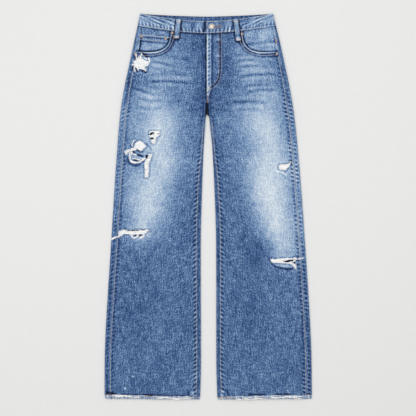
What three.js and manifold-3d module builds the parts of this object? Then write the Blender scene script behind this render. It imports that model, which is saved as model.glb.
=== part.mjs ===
// Ripped denim jeans, laid flat on their back with the front facing up.
// Units are millimetres. +X is the wearer's left, +Y runs from the hems to the waist and +Z is up.
// Each leg is a flattened tube: its back panel lies underneath and folds over both edges, and the
// front panel fills the space between the two seams on top.
import * as THREE from 'three';
import { mergeVertices } from 'three/addons/utils/BufferGeometryUtils.js';
import Module from 'manifold-3d';

const wasm = await Module();
wasm.setup();

// ---- Walls and layers --------------------------------------------------------------------------
const DENIM = 1.2; // one layer of heavy twill
const PATCH = 1.5; // back pocket or belt loop, with its turned edges
const BAND = 2.6; // waistband: denim folded on itself
const BAG = 1.0; // both layers of the pocket bag
const YARNS = 1.0; // bare yarns left across a tear
const GAP = 0.3; // space between neighbouring pieces
const FOLD_HEIGHT = 6; // a flattened leg, at its folded edges
const HIP_LIFT = PATCH + GAP; // the seat lies on the back pockets and the back belt loops
const HIP_TOP = HIP_LIFT + FOLD_HEIGHT;
const BAND_TOP = HIP_TOP + GAP;

// ---- Outline, as pairs of height above the hem and distance from the centre front --------------
const OUTER_RIGHT = [[0, 291], [170, 289], [450, 272], [700, 256], [852, 241], [1000, 211], [1100, 189]];
const OUTER_LEFT = [[0, 301], [170, 298], [450, 281], [700, 262], [852, 244], [1000, 214], [1100, 190]];
const INNER_RIGHT = [
  [0, 18.5], [100, 16], [450, 16.5], [560, 14], [711, 8.6], [780, 4.1], [808, 2.1], [815, -0.85],
];
const INNER_LEFT = [
  [0, 31], [100, 28.2], [450, 27.4], [560, 24.4], [711, 17.2], [780, 10.6], [808, 7.2], [815, 1.15],
];
const OUTSEAM_INSET = [[0, 15], [852, 15], [1000, 11], [1066, 5.5]];
const INSEAM_INSET = [[0, 10], [600, 10], [711, 4.4], [815, 4.4]];
const CENTRE = 1; // the centre seams at the crotch
const FORK = 815; // the two folded inner edges meet here
const CROTCH = 851; // the four seams meet here
const LIFT_START = 700;
const LIFT_END = 800;

// ---- Waist -------------------------------------------------------------------------------------
const BAND_HEIGHT = 34.5;
const WAIST_HALF = 189;
const CORNER_HEIGHT = 1101.5;
const BAND_FOOT = 1060; // the panels' side edges are straight above this height
const FRONT_DIP = 21.5; // the front edge hangs this far below the corners
const BACK_DIP = 8;
const BAND_GAP = 1.3; // space below the band, whose curved edge is made of straight stretches
const DIP_POWER = 1.6;
const UNDERLAP = 40; // how far the right end runs on under the left end
const OVERLAP_EDGE = -1.5;
const OVERLAP_RAMP = 26;
const RIGHT_STATIONS = [UNDERLAP, 10, -30, -65, -100, -135, -165]; // along the front of the band
const LEFT_STATIONS = [165, 130, 100, UNDERLAP + OVERLAP_RAMP];
const OVERLAP_STATIONS = [UNDERLAP + GAP, 10, OVERLAP_EDGE];
const BACK_STATIONS = [-0.8, -0.6, -0.4, -0.2, 0, 0.2, 0.4, 0.6, 0.8]; // shares of half the waist
const BUTTON = { x: 14.5, y: 1064, radius: 8.2, shank: 2.4, height: 3, rim: 2.4, dish: 2.1 };
const BUTTONHOLE = { end: 43, eye: 0.9, half: 1, opening: Math.PI / 6 };

// ---- Seat --------------------------------------------------------------------------------------
const YOKE_CENTRE = 988;
const YOKE_SIDE = 1024;
const POCKET = { inner: 34, outer: 182, top: 979, side: 838, point: 822, slant: 6, taper: 5 };

// ---- Front pockets and fly ---------------------------------------------------------------------
const SCOOP = { edge: 102, straight: 1046.3, turn: 1008, knee: 122, low: 991, side: 995, bend: 165 };
const SCOOP_REACH = 60; // the cut runs this far out past the side seam
const FACING_LOW = 984;
const FACING_EDGE = 86;
const FACING_SEAM = 8; // the facing stops this far inside the folded side edge
const COIN = { topSide: 1043.7, topFly: 1034.5, edge: 99, seam: 10 };
const BAG_HIGH = FACING_LOW - GAP;
const BAG_OUTLINE = [
  [-208, BAG_HIGH],
  [-213, 930],
  [-196, 874],
  [-165, 862],
  [-122, 870],
  [-96, 905],
  [-92, BAG_HIGH],
];
const FLY = { right: -8, left: 40, low: 893, curve: 12, rise: 4, straight: 42 };
const RIVET = { radius: 3.8, height: 1.6 };
const ON_PANEL = HIP_TOP + GAP;
const ON_COIN_POCKET = HIP_TOP - DENIM;
const RIVETS = [
  { name: 'rivet_pocket_right_fly', x: -97.5, y: 1047, foot: ON_PANEL },
  { name: 'rivet_pocket_right_side', x: -203, y: 987, foot: ON_PANEL },
  { name: 'rivet_pocket_left_fly', x: 101.5, y: 1044, foot: ON_PANEL },
  { name: 'rivet_pocket_left_side', x: 201, y: 987, foot: ON_PANEL },
  { name: 'rivet_coin_pocket_side', x: -185, y: 1037, foot: ON_COIN_POCKET },
  { name: 'rivet_coin_pocket_fly', x: -116.5, y: 1030, foot: ON_COIN_POCKET },
];

// ---- Belt loops: top centre, bottom centre, height of the lower end ----------------------------
const LOOP_WIDTH = 13;
const LOOP_ARCH = 0.9; // a front loop stands this far off the middle of the band
const FRONT_LOOPS = [
  { name: 'belt_loop_front_right', top: -79.5, low: -85, end: 1031 },
  { name: 'belt_loop_front_left', top: 83, low: 91, end: 1024 },
];
const BACK_LOOPS = [
  { name: 'belt_loop_back_right', at: -98 },
  { name: 'belt_loop_back_centre', at: 0 },
  { name: 'belt_loop_back_left', at: 98 },
];
const BACK_LOOP_END = 1040;

// ---- Hems --------------------------------------------------------------------------------------
const CLOTH_HEM_INNER = 9;
const HEM_RISE = 6; // the outer corner of each hem sits this much higher
const FRINGE = 1.0;

// ---- Tears: rows of height, left edge and right edge -------------------------------------------
const TEARS = [
  {
    name: 'pocket_hole',
    rows: [
      [934, -192, -176], [948, -202, -164], [961, -203, -162], [971, -199, -164],
      [981, -186, -173],
    ],
  },
  {
    name: 'bare_yarns_thigh_upper',
    rows: [
      [729, -149, -144], [740, -155, -138], [750, -163, -132], [761, -165, -131],
      [767, -160, -138],
    ],
  },
  {
    name: 'bare_yarns_thigh_arch',
    rows: [
      [676, -212, -198], [686, -222, -189], [698, -223, -186], [709, -226, -172],
      [721, -212, -171], [732, -209, -174], [740, -198, -184],
    ],
  },
  {
    name: 'bare_yarns_thigh_bar',
    rows: [
      [635, -173, -167], [652, -176, -164], [669, -176, -163], [684, -175, -158],
      [694, -175, -154], [701, -168, -158],
    ],
  },
  {
    name: 'bare_yarns_knee_right',
    rows: [
      [464, -251, -236], [470, -252, -195], [480, -251, -158], [487, -240, -167],
    ],
  },
  {
    name: 'bare_yarns_thigh_outer',
    rows: [
      [652, 210, 230], [666, 206, 238], [675, 207, 235],
    ],
  },
  {
    name: 'bare_yarns_knee_left',
    rows: [
      [377, 196, 240], [385, 186, 252], [393, 181, 258], [401, 179, 266],
      [406, 187, 255],
    ],
  },
];
const YARN_REACH = 3; // the yarns run on this far under the cloth round a tear
const YARN_DROP = 0.6; // clear space between the cloth and the yarns under it
const YARN_COLUMNS = 6;

// ---- Drape of the front panels -----------------------------------------------------------------
const SLACK = 1.5; // deepest hollow of a leg between its edges
const FOLD_DEPTH = 0.3; // share of the slack that the cross folds take
const FOLD_PITCH = 150;
const FOLD_SLANT = 0.35;
const HOLLOW_POWER = 1.5;
const HOLLOW_FULL = 80; // the hollow is at full depth from here up
const HOLLOW_FADE = 780; // and fades out from here to the crotch
const LEG_ROWS = [0, 60, 120, 180, 240, 300, 360, 410, 450, 490, 540, 600, 655, 711, 760, 806];
const CROTCH_ROWS = [815, 827, 839, 851];
const SEAT_ROWS = [880, 920, 960, 980];
const PANEL_COLUMNS = 8;
const SEAT_COLUMNS = 5;
const UNROLLED = [0, 0.25, 0.5, 0.75, 1]; // shares of a half turn round a folded edge

const COLOURS = {
  denim: 0x5f82b0,
  faded: 0x9fb7d2,
  dark: 0x49699b,
  yarn: 0xefeeea,
  bag: 0xf0eeea,
  copper: 0xb98a66,
  button: 0xd9cfc0,
};

// ---- Curves ------------------------------------------------------------------------------------
// A smooth curve through pairs of height and value, flat beyond both ends.
function profile(pairs) {
  const slopes = pairs.map((pair, i) => {
    const before = pairs[Math.max(i - 1, 0)];
    const after = pairs[Math.min(i + 1, pairs.length - 1)];
    return (after[1] - before[1]) / (after[0] - before[0]);
  });
  return (y) => {
    if (y <= pairs[0][0]) {
      return pairs[0][1];
    }
    const next = pairs.findIndex((pair) => pair[0] >= y);
    if (next < 0) {
      return pairs[pairs.length - 1][1];
    }
    const [y0, v0] = pairs[next - 1];
    const [y1, v1] = pairs[next];
    const span = y1 - y0;
    const t = (y - y0) / span;
    const rise = v1 - v0;
    const start = slopes[next - 1] * span - rise;
    const end = rise - slopes[next] * span;
    return v0 + rise * t + t * (1 - t) * (start * (1 - t) + end * t);
  };
}

const { lerp, smoothstep } = THREE.MathUtils;
const outerRight = profile(OUTER_RIGHT);
const outerLeft = profile(OUTER_LEFT);
const innerRight = profile(INNER_RIGHT);
const innerLeft = profile(INNER_LEFT);
const outseamInset = profile(OUTSEAM_INSET);
const inseamInset = profile(INSEAM_INSET);

const RIGHT_LEG = { side: -1, outer: (y) => -outerRight(y), inner: (y) => -innerRight(y) };
const LEFT_LEG = { side: 1, outer: (y) => outerLeft(y), inner: (y) => innerLeft(y) };

const dip = (x) => Math.min(Math.abs(x) / WAIST_HALF, 1) ** DIP_POWER;
const frontBandTop = (x) => CORNER_HEIGHT - FRONT_DIP * (1 - dip(x));
const backBandTop = (x) => CORNER_HEIGHT - BACK_DIP * (1 - dip(x));
const yokeSeam = (x) => lerp(YOKE_CENTRE, YOKE_SIDE, Math.abs(x) / outerRight(YOKE_SIDE));
const base = (y) => HIP_LIFT * smoothstep(y, LIFT_START, LIFT_END);

function clothHem(leg, x) {
  const across = (x - leg.inner(0)) / (leg.outer(0) - leg.inner(0));
  return CLOTH_HEM_INNER + HEM_RISE * across;
}

// How far the front of a leg sinks between its folded edges: a shallow trough with slanting folds.
function hollow(leg, x, y) {
  const u = (x - leg.inner(y)) / (leg.outer(y) - leg.inner(y));
  const across = Math.max(4 * u * (1 - u), 0) ** HOLLOW_POWER;
  const along = smoothstep(y, 0, HOLLOW_FULL) * (1 - smoothstep(y, HOLLOW_FADE, CROTCH));
  const wave = Math.sin((2 * Math.PI * (y + FOLD_SLANT * x)) / FOLD_PITCH);
  return (SLACK * across * along * (1 + FOLD_DEPTH * wave)) / (1 + FOLD_DEPTH);
}

const frontTop = (leg, x, y) => base(y) + FOLD_HEIGHT - hollow(leg, x, y);

// ---- Solids ------------------------------------------------------------------------------------
// A closed mesh from points and triangles, turned so that its faces point out.
function closedGeometry(points, triangles) {
  let volume = 0;
  for (const [a, b, c] of triangles) {
    volume += points[a].dot(new THREE.Vector3().crossVectors(points[b], points[c]));
  }
  const order = volume < 0 ? triangles.map(([a, b, c]) => [a, c, b]) : triangles;
  const geometry = new THREE.BufferGeometry();
  const flat = points.flatMap((point) => point.toArray());
  geometry.setAttribute('position', new THREE.Float32BufferAttribute(flat, 3));
  geometry.setIndex(order.flat());
  geometry.computeVertexNormals();
  return geometry;
}

// A wall of cloth between an outer and an inner grid of points, both as rows of columns. A ring
// also joins its last column to its first.
function wall(outer, inner, ring = false) {
  const rows = outer.length;
  const columns = outer[0].length;
  const points = [...outer.flat(), ...inner.flat()];
  const at = (layer, row, column) => (layer * rows + row) * columns + (column % columns);
  const triangles = [];
  const quad = (a, b, c, d) => triangles.push([a, b, c], [a, c, d]);
  const steps = ring ? columns : columns - 1;
  for (let row = 0; row < rows - 1; row += 1) {
    for (let column = 0; column < steps; column += 1) {
      const next = column + 1;
      quad(at(0, row, column), at(0, row, next), at(0, row + 1, next), at(0, row + 1, column));
      quad(at(1, row, column), at(1, row + 1, column), at(1, row + 1, next), at(1, row, next));
    }
    if (!ring) {
      const last = columns - 1;
      quad(at(0, row, 0), at(0, row + 1, 0), at(1, row + 1, 0), at(1, row, 0));
      quad(at(0, row, last), at(1, row, last), at(1, row + 1, last), at(0, row + 1, last));
    }
  }
  for (let column = 0; column < steps; column += 1) {
    const next = column + 1;
    const top = rows - 1;
    quad(at(0, 0, column), at(1, 0, column), at(1, 0, next), at(0, 0, next));
    quad(at(0, top, column), at(0, top, next), at(1, top, next), at(1, top, column));
  }
  return closedGeometry(points, triangles);
}

// A wall whose surface points carry their own outward direction in the XZ plane.
function wallAlongNormals(grid, thickness, ring = false) {
  const outer = grid.map((row) => row.map((p) => new THREE.Vector3(p.x, p.y, p.z)));
  const inner = grid.map((row) => row.map((p) => {
    return new THREE.Vector3(p.x - thickness * p.nx, p.y, p.z - thickness * p.nz);
  }));
  return wall(outer, inner, ring);
}

function plate(shape, bottom, thickness) {
  const options = { depth: thickness, bevelEnabled: false, curveSegments: 10 };
  const geometry = new THREE.ExtrudeGeometry(shape, options);
  geometry.translate(0, 0, bottom);
  return geometry;
}

function outlineShape(corners) {
  return new THREE.Shape(corners.map(([x, y]) => new THREE.Vector2(x, y)));
}

function toSolid(geometry) {
  const bare = geometry.clone();
  bare.deleteAttribute('normal');
  bare.deleteAttribute('uv');
  const merged = mergeVertices(bare, 1e-4);
  const solid = new wasm.Mesh({
    numProp: 3,
    vertProperties: new Float32Array(merged.attributes.position.array),
    triVerts: new Uint32Array(merged.index.array),
  });
  return new wasm.Manifold(solid);
}

function cut(geometry, tools) {
  let solid = toSolid(geometry);
  for (const tool of tools) {
    solid = solid.subtract(toSolid(tool));
  }
  const mesh = solid.getMesh();
  const result = new THREE.BufferGeometry();
  result.setAttribute('position', new THREE.BufferAttribute(new Float32Array(mesh.vertProperties), 3));
  result.setIndex(Array.from(mesh.triVerts));
  result.computeVertexNormals();
  return result;
}

// ---- Leg sections ------------------------------------------------------------------------------
// The back panel's surface at one height, from its inner seam on top, round the inner fold, along
// the underside, round the outer fold and on to the outseam on top. Between the fork and the
// crotch the inner fold unrolls, and above it lies flat as far as the centre back seam.
function backPoint(leg, y, column) {
  const { side } = leg;
  const radius = FOLD_HEIGHT / 2;
  const low = base(y);
  const high = low + FOLD_HEIGHT;
  const turns = UNROLLED.length;
  const outerX = leg.outer(y);
  const halfTurn = Math.PI * radius;
  const flap = inseamInset(y) - radius - GAP / 2;
  const open = smoothstep(y, FORK, CROTCH);
  const seam = CENTRE + (side * GAP) / 2;
  const closed = Math.max(1 - open, 1e-6);
  const whole = Math.PI * closed;
  const bulge = (radius / closed) * Math.sin(Math.min(whole, Math.PI / 2));
  const seamEnd = (radius / closed) * Math.sin(whole) + flap * Math.cos(whole);
  const foldStart = y > FORK ? seam + side * Math.max(bulge, seamEnd) : leg.inner(y) + side * radius;
  if (column <= turns) {
    const share = column === 0 ? 1 : UNROLLED[turns - column];
    const angle = Math.PI * share * (1 - open);
    const bend = (1 - open) / radius;
    const length = halfTurn * share;
    const along = bend > 1e-6 ? Math.sin(angle) / bend : length;
    const rise = bend > 1e-6 ? (1 - Math.cos(angle)) / bend : 0;
    const extra = column === 0 ? flap : 0;
    const reach = side * foldStart - along - extra * Math.cos(angle);
    const x = side * Math.max(reach, side * seam);
    const z = low + (1 - open) * (rise + extra * Math.sin(angle));
    return { x, y, z, nx: -side * Math.sin(angle), nz: -Math.cos(angle) };
  }
  const flatEnd = outerX - side * radius;
  if (column <= turns + SEAT_COLUMNS) {
    const x = lerp(foldStart, flatEnd, (column - turns) / (SEAT_COLUMNS + 1));
    return { x, y, z: low, nx: 0, nz: -1 };
  }
  const step = column - turns - SEAT_COLUMNS - 1;
  if (step < turns) {
    const angle = Math.PI * UNROLLED[step];
    const x = flatEnd + side * radius * Math.sin(angle);
    const z = low + radius * (1 - Math.cos(angle));
    return { x, y, z, nx: side * Math.sin(angle), nz: -Math.cos(angle) };
  }
  return { x: outerX - side * (outseamInset(y) - GAP / 2), y, z: high, nx: 0, nz: 1 };
}

const BACK_COLUMNS = 2 * UNROLLED.length + SEAT_COLUMNS + 2;

function backLeg(leg) {
  const rows = [];
  for (const y of [...LEG_ROWS, ...CROTCH_ROWS, ...SEAT_ROWS]) {
    rows.push(Array.from({ length: BACK_COLUMNS }, (_, column) => {
      const point = backPoint(leg, y, column);
      return y === 0 ? { ...point, y: clothHem(leg, point.x) } : point;
    }));
  }
  rows.push(Array.from({ length: BACK_COLUMNS }, (_, column) => {
    const seam = yokeSeam(backPoint(leg, YOKE_SIDE, column).x) - GAP / 2;
    return backPoint(leg, seam, column);
  }));
  return wallAlongNormals(rows, DENIM);
}

function yoke(leg) {
  const rows = [0, 0.5, 1].map((share) => Array.from({ length: BACK_COLUMNS }, (_, column) => {
    const { x } = backPoint(leg, YOKE_SIDE, column);
    const top = Math.min(frontBandTop(WAIST_HALF), backBandTop(x)) - BAND_HEIGHT - BAND_GAP;
    return backPoint(leg, lerp(yokeSeam(x) + GAP / 2, top, share), column);
  }));
  return wallAlongNormals(rows, DENIM);
}

// ---- Front panels ------------------------------------------------------------------------------
function frontEdges(leg, y) {
  const { side } = leg;
  const seam = CENTRE + (side * GAP) / 2;
  const onLeg = leg.inner(Math.min(y, FORK)) + side * (inseamInset(y) + GAP / 2);
  const inner = lerp(onLeg, seam, smoothstep(y, FORK, CROTCH) ** 2);
  return [inner, leg.outer(y) - side * (outseamInset(y) + GAP / 2)];
}

function scoopTool(leg) {
  const { side } = leg;
  const { edge, straight, turn, knee, low, bend } = SCOOP;
  const far = side * (WAIST_HALF + SCOOP_REACH);
  const shape = new THREE.Shape();
  shape.moveTo(side * edge, CORNER_HEIGHT);
  shape.lineTo(side * edge, straight);
  shape.bezierCurveTo(side * (edge + 1), turn, side * knee, low, side * bend, low);
  shape.lineTo(far, SCOOP.side);
  shape.lineTo(far, CORNER_HEIGHT);
  shape.closePath();
  return plate(shape, FOLD_HEIGHT / 2, 2 * FOLD_HEIGHT);
}

function tearTool({ rows }) {
  const right = rows.map(([y, , x]) => [x, y]);
  const left = rows.map(([y, x]) => [x, y]).reverse();
  return plate(outlineShape([...right, ...left]), DENIM + GAP, 2 * FOLD_HEIGHT);
}

function frontLeg(leg) {
  const heights = [...LEG_ROWS, ...CROTCH_ROWS, ...SEAT_ROWS, YOKE_SIDE, CORNER_HEIGHT];
  const rows = heights.map((nominal) => {
    const [inner, outer] = frontEdges(leg, Math.min(nominal, BAND_FOOT));
    return Array.from({ length: PANEL_COLUMNS + 1 }, (_, column) => {
      const x = lerp(inner, outer, column / PANEL_COLUMNS);
      const top = frontBandTop(x) - BAND_HEIGHT - BAND_GAP;
      const y = nominal === 0 ? clothHem(leg, x) : Math.min(nominal, top);
      return { x, y, z: frontTop(leg, x, y), nx: 0, nz: 1 };
    });
  });
  const ownTears = TEARS.filter((tear) => Math.sign(tear.rows[0][1]) === leg.side);
  return cut(wallAlongNormals(rows, DENIM), [scoopTool(leg), ...ownTears.map(tearTool)]);
}

// Yarns across a tear lie just under the front panel and follow its drape.
function bareYarns(leg, { rows }) {
  const [low, ...lowEdges] = rows[0];
  const [high, ...highEdges] = rows[rows.length - 1];
  const reached = [[low - YARN_REACH, ...lowEdges], ...rows, [high + YARN_REACH, ...highEdges]];
  const grid = reached.map(([y, left, right]) => {
    return Array.from({ length: YARN_COLUMNS + 1 }, (_, column) => {
      const x = lerp(left - YARN_REACH, right + YARN_REACH, column / YARN_COLUMNS);
      const z = frontTop(leg, x, y) - DENIM - YARN_DROP;
      return { x, y, z, nx: 0, nz: 1 };
    });
  });
  return wallAlongNormals(grid, YARNS);
}

// ---- Waistband: one strip, from its right end under the button round the back to its left end --
// Each station has its share of half the waist, its height and outward direction, how far it is
// turned from the back (0) to the front (1), and how far a side fold bulges past the side.
function bandStations() {
  const radius = (BAND_TOP - HIP_LIFT) / 2;
  const centre = HIP_LIFT + radius;
  const front = (x, lift) => {
    return { share: x / WAIST_HALF, z: BAND_TOP + lift, nx: 0, nz: 1, face: 1, bulge: 0 };
  };
  const back = (share) => ({ share, z: HIP_LIFT, nx: 0, nz: -1, face: 0, bulge: 0 });
  const fold = (side, angle) => {
    const across = Math.sin(angle);
    const up = Math.cos(angle);
    const face = (1 + up) / 2;
    const bulge = radius * (across - 1);
    return { share: side, z: centre + radius * up, nx: side * across, nz: up, face, bulge };
  };
  const turn = UNROLLED.map((share) => share * Math.PI);
  return [
    ...RIGHT_STATIONS.map((x) => front(x, 0)),
    ...turn.map((angle) => fold(-1, angle)),
    ...BACK_STATIONS.map(back),
    ...[...turn].reverse().map((angle) => fold(1, angle)),
    ...LEFT_STATIONS.map((x) => front(x, 0)),
    ...OVERLAP_STATIONS.map((x) => front(x, BAND + GAP)),
  ];
}

function waistband() {
  const outside = (side, y) => (side < 0 ? -outerRight(y) : outerLeft(y));
  const rows = [-1, -0.5, 0].map((share) => bandStations().map((station) => {
    const side = Math.sign(station.share) || 1;
    const nominal = station.share * WAIST_HALF;
    const top = lerp(backBandTop(nominal), frontBandTop(nominal), station.face);
    const y = top + share * BAND_HEIGHT;
    const spread = Math.abs(station.share) * Math.abs(outside(side, y));
    const x = side * (spread + station.bulge);
    return { x, y, z: station.z, nx: station.nx, nz: station.nz };
  }));
  const slot = new THREE.Shape();
  const { end, eye, half, opening } = BUTTONHOLE;
  slot.absarc(BUTTON.x, BUTTON.y, BUTTON.shank + eye, opening, 2 * Math.PI - opening, false);
  slot.lineTo(end, BUTTON.y - half);
  slot.lineTo(end, BUTTON.y + half);
  slot.closePath();
  return cut(wallAlongNormals(rows, BAND), [plate(slot, BAND_TOP + GAP / 2, FOLD_HEIGHT)]);
}

// ---- Pockets, fly, loops and trims -------------------------------------------------------------
function backPocket(side) {
  const { inner, outer, top, side: corner, point, slant, taper } = POCKET;
  const shape = outlineShape([
    [side * inner, top - slant],
    [side * (inner + taper), corner - slant],
    [side * ((inner + outer) / 2), point - slant],
    [side * (outer - taper), corner],
    [side * outer, top],
  ]);
  return plate(shape, 0, PATCH);
}

// The facing runs from the side seam to a little past the scooped opening.
function facing(leg) {
  const { side } = leg;
  const sideAt = (y) => leg.outer(y) - side * FACING_SEAM;
  const tops = [1, 0.66, 0.33, 0].map((share) => {
    const x = lerp(side * FACING_EDGE, sideAt(BAND_FOOT), share);
    return [x, frontBandTop(x) - BAND_HEIGHT - BAND_GAP];
  });
  const lows = [[side * FACING_EDGE, FACING_LOW], [sideAt(FACING_LOW), FACING_LOW]];
  return plate(outlineShape([...tops, ...lows]), HIP_LIFT + DENIM + 2 * GAP, DENIM);
}

function coinPocket() {
  const { topSide, topFly, edge, seam } = COIN;
  const sideAt = (y) => RIGHT_LEG.outer(y) + seam;
  const low = FACING_LOW + 1;
  const shape = outlineShape([
    [sideAt(topSide), topSide],
    [sideAt(low), low],
    [-edge, low],
    [-edge, topFly],
  ]);
  return plate(shape, HIP_TOP - 2 * DENIM - GAP, DENIM);
}

function pocketBag() {
  return plate(outlineShape(BAG_OUTLINE), HIP_TOP - DENIM - GAP - BAG, BAG);
}

function flyUnderlap() {
  const { right, left, low, curve, rise, straight } = FLY;
  const top = frontBandTop(0) - BAND_HEIGHT - BAND_GAP;
  const shape = new THREE.Shape();
  shape.moveTo(right, top);
  shape.lineTo(right, low);
  shape.lineTo(curve, low);
  shape.quadraticCurveTo(left, low + rise, left, low + straight);
  shape.lineTo(left, top);
  shape.closePath();
  return plate(shape, HIP_TOP - 2 * DENIM - GAP, DENIM);
}

function frontLoop({ top, low, end }) {
  const upper = frontBandTop(top);
  const lower = frontBandTop(low) - BAND_HEIGHT;
  const stations = [
    [upper, 0],
    [lerp(upper, lower, 0.5), LOOP_ARCH],
    [lower, 0],
    [end, GAP - BAND_TOP + HIP_TOP],
  ];
  const rows = stations.map(([y, lift]) => {
    const middle = lerp(low, top, (y - end) / (upper - end));
    const z = BAND_TOP + GAP + PATCH + lift;
    return [-0.5, 0.5].map((share) => ({ x: middle + share * LOOP_WIDTH, y, z, nx: 0, nz: 1 }));
  });
  return wallAlongNormals(rows, PATCH);
}

function backLoop({ at }) {
  const half = LOOP_WIDTH / 2;
  const top = backBandTop(at);
  const shape = outlineShape([
    [at - half, BACK_LOOP_END],
    [at + half, BACK_LOOP_END],
    [at + half, top],
    [at - half, top],
  ]);
  return plate(shape, 0, PATCH);
}

// A tube of frayed yarns below each hem, all round the leg opening.
function hemFringe(leg) {
  const loop = [];
  for (let column = 1; column < BACK_COLUMNS; column += 1) {
    loop.push(column);
  }
  const rows = [0, 1].map((share) => {
    const under = loop.map((column) => backPoint(leg, 0, column));
    const [inner, outer] = frontEdges(leg, 0);
    const over = [0.75, 0.5, 0.25].map((step) => {
      return { x: lerp(inner, outer, step), y: 0, z: FOLD_HEIGHT, nx: 0, nz: 1 };
    });
    return [...under, ...over].map((point) => {
      const hem = clothHem(leg, point.x);
      const y = lerp(hem - CLOTH_HEM_INNER, hem - GAP, share);
      return { ...point, y };
    });
  });
  return wallAlongNormals(rows, FRINGE, true);
}

function waistButton() {
  const foot = BAND_TOP + GAP;
  const under = BAND_TOP + GAP + BAND + GAP;
  const { radius, shank, height, rim, dish } = BUTTON;
  const outline = [
    [0, foot],
    [shank, foot],
    [shank, under],
    [radius - 0.8, under],
    [radius, under + 0.8],
    [radius, under + 2],
    [radius - 1, under + height],
    [radius - 2.2, under + rim],
    [radius - 3.4, under + dish],
    [2, under + height - 0.2],
    [0, under + height],
  ].map(([r, z]) => new THREE.Vector2(r, z));
  const geometry = new THREE.LatheGeometry(outline, 28);
  geometry.rotateX(Math.PI / 2);
  geometry.translate(BUTTON.x, BUTTON.y, 0);
  return geometry;
}

function rivet(x, y, foot) {
  const { radius, height } = RIVET;
  const outline = [
    [0, 0],
    [radius, 0],
    [radius, height * 0.3],
    [radius * 0.8, height * 0.7],
    [radius * 0.4, height * 0.8],
    [radius * 0.25, height],
    [0, height],
  ].map(([r, z]) => new THREE.Vector2(r, z));
  const geometry = new THREE.LatheGeometry(outline, 16);
  geometry.rotateX(Math.PI / 2);
  geometry.translate(x, y, foot);
  return geometry;
}

// ---- Assembly ----------------------------------------------------------------------------------
const jeans = new THREE.Group();

function add(name, geometry, colour, roughness = 0.9, metalness = 0) {
  const material = new THREE.MeshStandardMaterial({ color: colour, roughness, metalness });
  const mesh = new THREE.Mesh(geometry, material);
  mesh.name = name;
  jeans.add(mesh);
}

add('front_leg_right', frontLeg(RIGHT_LEG), COLOURS.denim);
add('front_leg_left', frontLeg(LEFT_LEG), COLOURS.denim);
add('back_leg_right', backLeg(RIGHT_LEG), COLOURS.dark);
add('back_leg_left', backLeg(LEFT_LEG), COLOURS.dark);
add('yoke_right', yoke(RIGHT_LEG), COLOURS.denim);
add('yoke_left', yoke(LEFT_LEG), COLOURS.denim);
add('back_pocket_right', backPocket(-1), COLOURS.faded);
add('back_pocket_left', backPocket(1), COLOURS.faded);
add('waistband', waistband(), COLOURS.faded);
add('pocket_facing_right', facing(RIGHT_LEG), COLOURS.denim);
add('pocket_facing_left', facing(LEFT_LEG), COLOURS.denim);
add('coin_pocket', coinPocket(), COLOURS.faded);
add('pocket_bag_right', pocketBag(), COLOURS.bag);
add('fly_underlap', flyUnderlap(), COLOURS.dark);
FRONT_LOOPS.forEach((loop) => add(loop.name, frontLoop(loop), COLOURS.faded));
BACK_LOOPS.forEach((loop) => add(loop.name, backLoop(loop), COLOURS.faded));
for (const tear of TEARS.slice(1)) {
  const leg = tear.rows[0][1] < 0 ? RIGHT_LEG : LEFT_LEG;
  add(tear.name, bareYarns(leg, tear), COLOURS.yarn);
}
add('hem_fringe_right', hemFringe(RIGHT_LEG), COLOURS.yarn);
add('hem_fringe_left', hemFringe(LEFT_LEG), COLOURS.yarn);
add('waist_button', waistButton(), COLOURS.button, 0.4, 1);

RIVETS.forEach(({ name, x, y, foot }) => {
  add(name, rivet(x, y, foot), COLOURS.copper, 0.4, 1);
});

// The origin is under the middle of the whole garment, on the surface that it lies on.
const extent = new THREE.Box3().setFromObject(jeans);
const middle = extent.getCenter(new THREE.Vector3());
jeans.position.set(-middle.x, -middle.y, -extent.min.z);
jeans.updateMatrixWorld(true);

export default jeans;
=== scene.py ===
import math

import bpy
import numpy as np
from bpy.props import FloatProperty, FloatVectorProperty, PointerProperty
from mathutils import Matrix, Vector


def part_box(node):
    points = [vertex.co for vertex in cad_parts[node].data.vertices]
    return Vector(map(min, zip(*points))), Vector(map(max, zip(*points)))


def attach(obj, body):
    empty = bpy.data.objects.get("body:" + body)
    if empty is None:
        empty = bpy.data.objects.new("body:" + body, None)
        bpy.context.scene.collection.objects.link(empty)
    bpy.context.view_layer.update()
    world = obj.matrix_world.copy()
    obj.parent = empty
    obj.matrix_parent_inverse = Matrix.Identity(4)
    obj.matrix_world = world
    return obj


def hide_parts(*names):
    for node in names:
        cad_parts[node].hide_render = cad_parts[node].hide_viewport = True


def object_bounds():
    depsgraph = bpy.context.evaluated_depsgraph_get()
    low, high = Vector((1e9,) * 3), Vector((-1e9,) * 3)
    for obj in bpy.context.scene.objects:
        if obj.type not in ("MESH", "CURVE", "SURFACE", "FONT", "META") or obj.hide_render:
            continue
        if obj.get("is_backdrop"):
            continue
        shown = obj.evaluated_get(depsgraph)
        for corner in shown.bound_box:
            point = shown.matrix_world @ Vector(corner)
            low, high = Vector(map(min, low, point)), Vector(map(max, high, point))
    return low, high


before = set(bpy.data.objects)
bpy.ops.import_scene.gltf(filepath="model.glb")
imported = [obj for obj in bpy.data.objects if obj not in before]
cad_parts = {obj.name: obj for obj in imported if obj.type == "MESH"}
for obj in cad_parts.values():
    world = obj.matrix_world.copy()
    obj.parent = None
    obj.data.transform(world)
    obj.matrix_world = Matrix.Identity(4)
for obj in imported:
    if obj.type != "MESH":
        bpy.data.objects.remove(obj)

bl_info = {
    "name": "Ripped jeans, laid flat",
    "version": (1, 0, 0),
    "blender": (4, 5, 0),
    "location": "View3D > Sidebar > Jeans",
    "description": "Builds worn, ripped denim jeans laid flat, on the frame of their CAD solids",
    "category": "Add Mesh",
}

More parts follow.
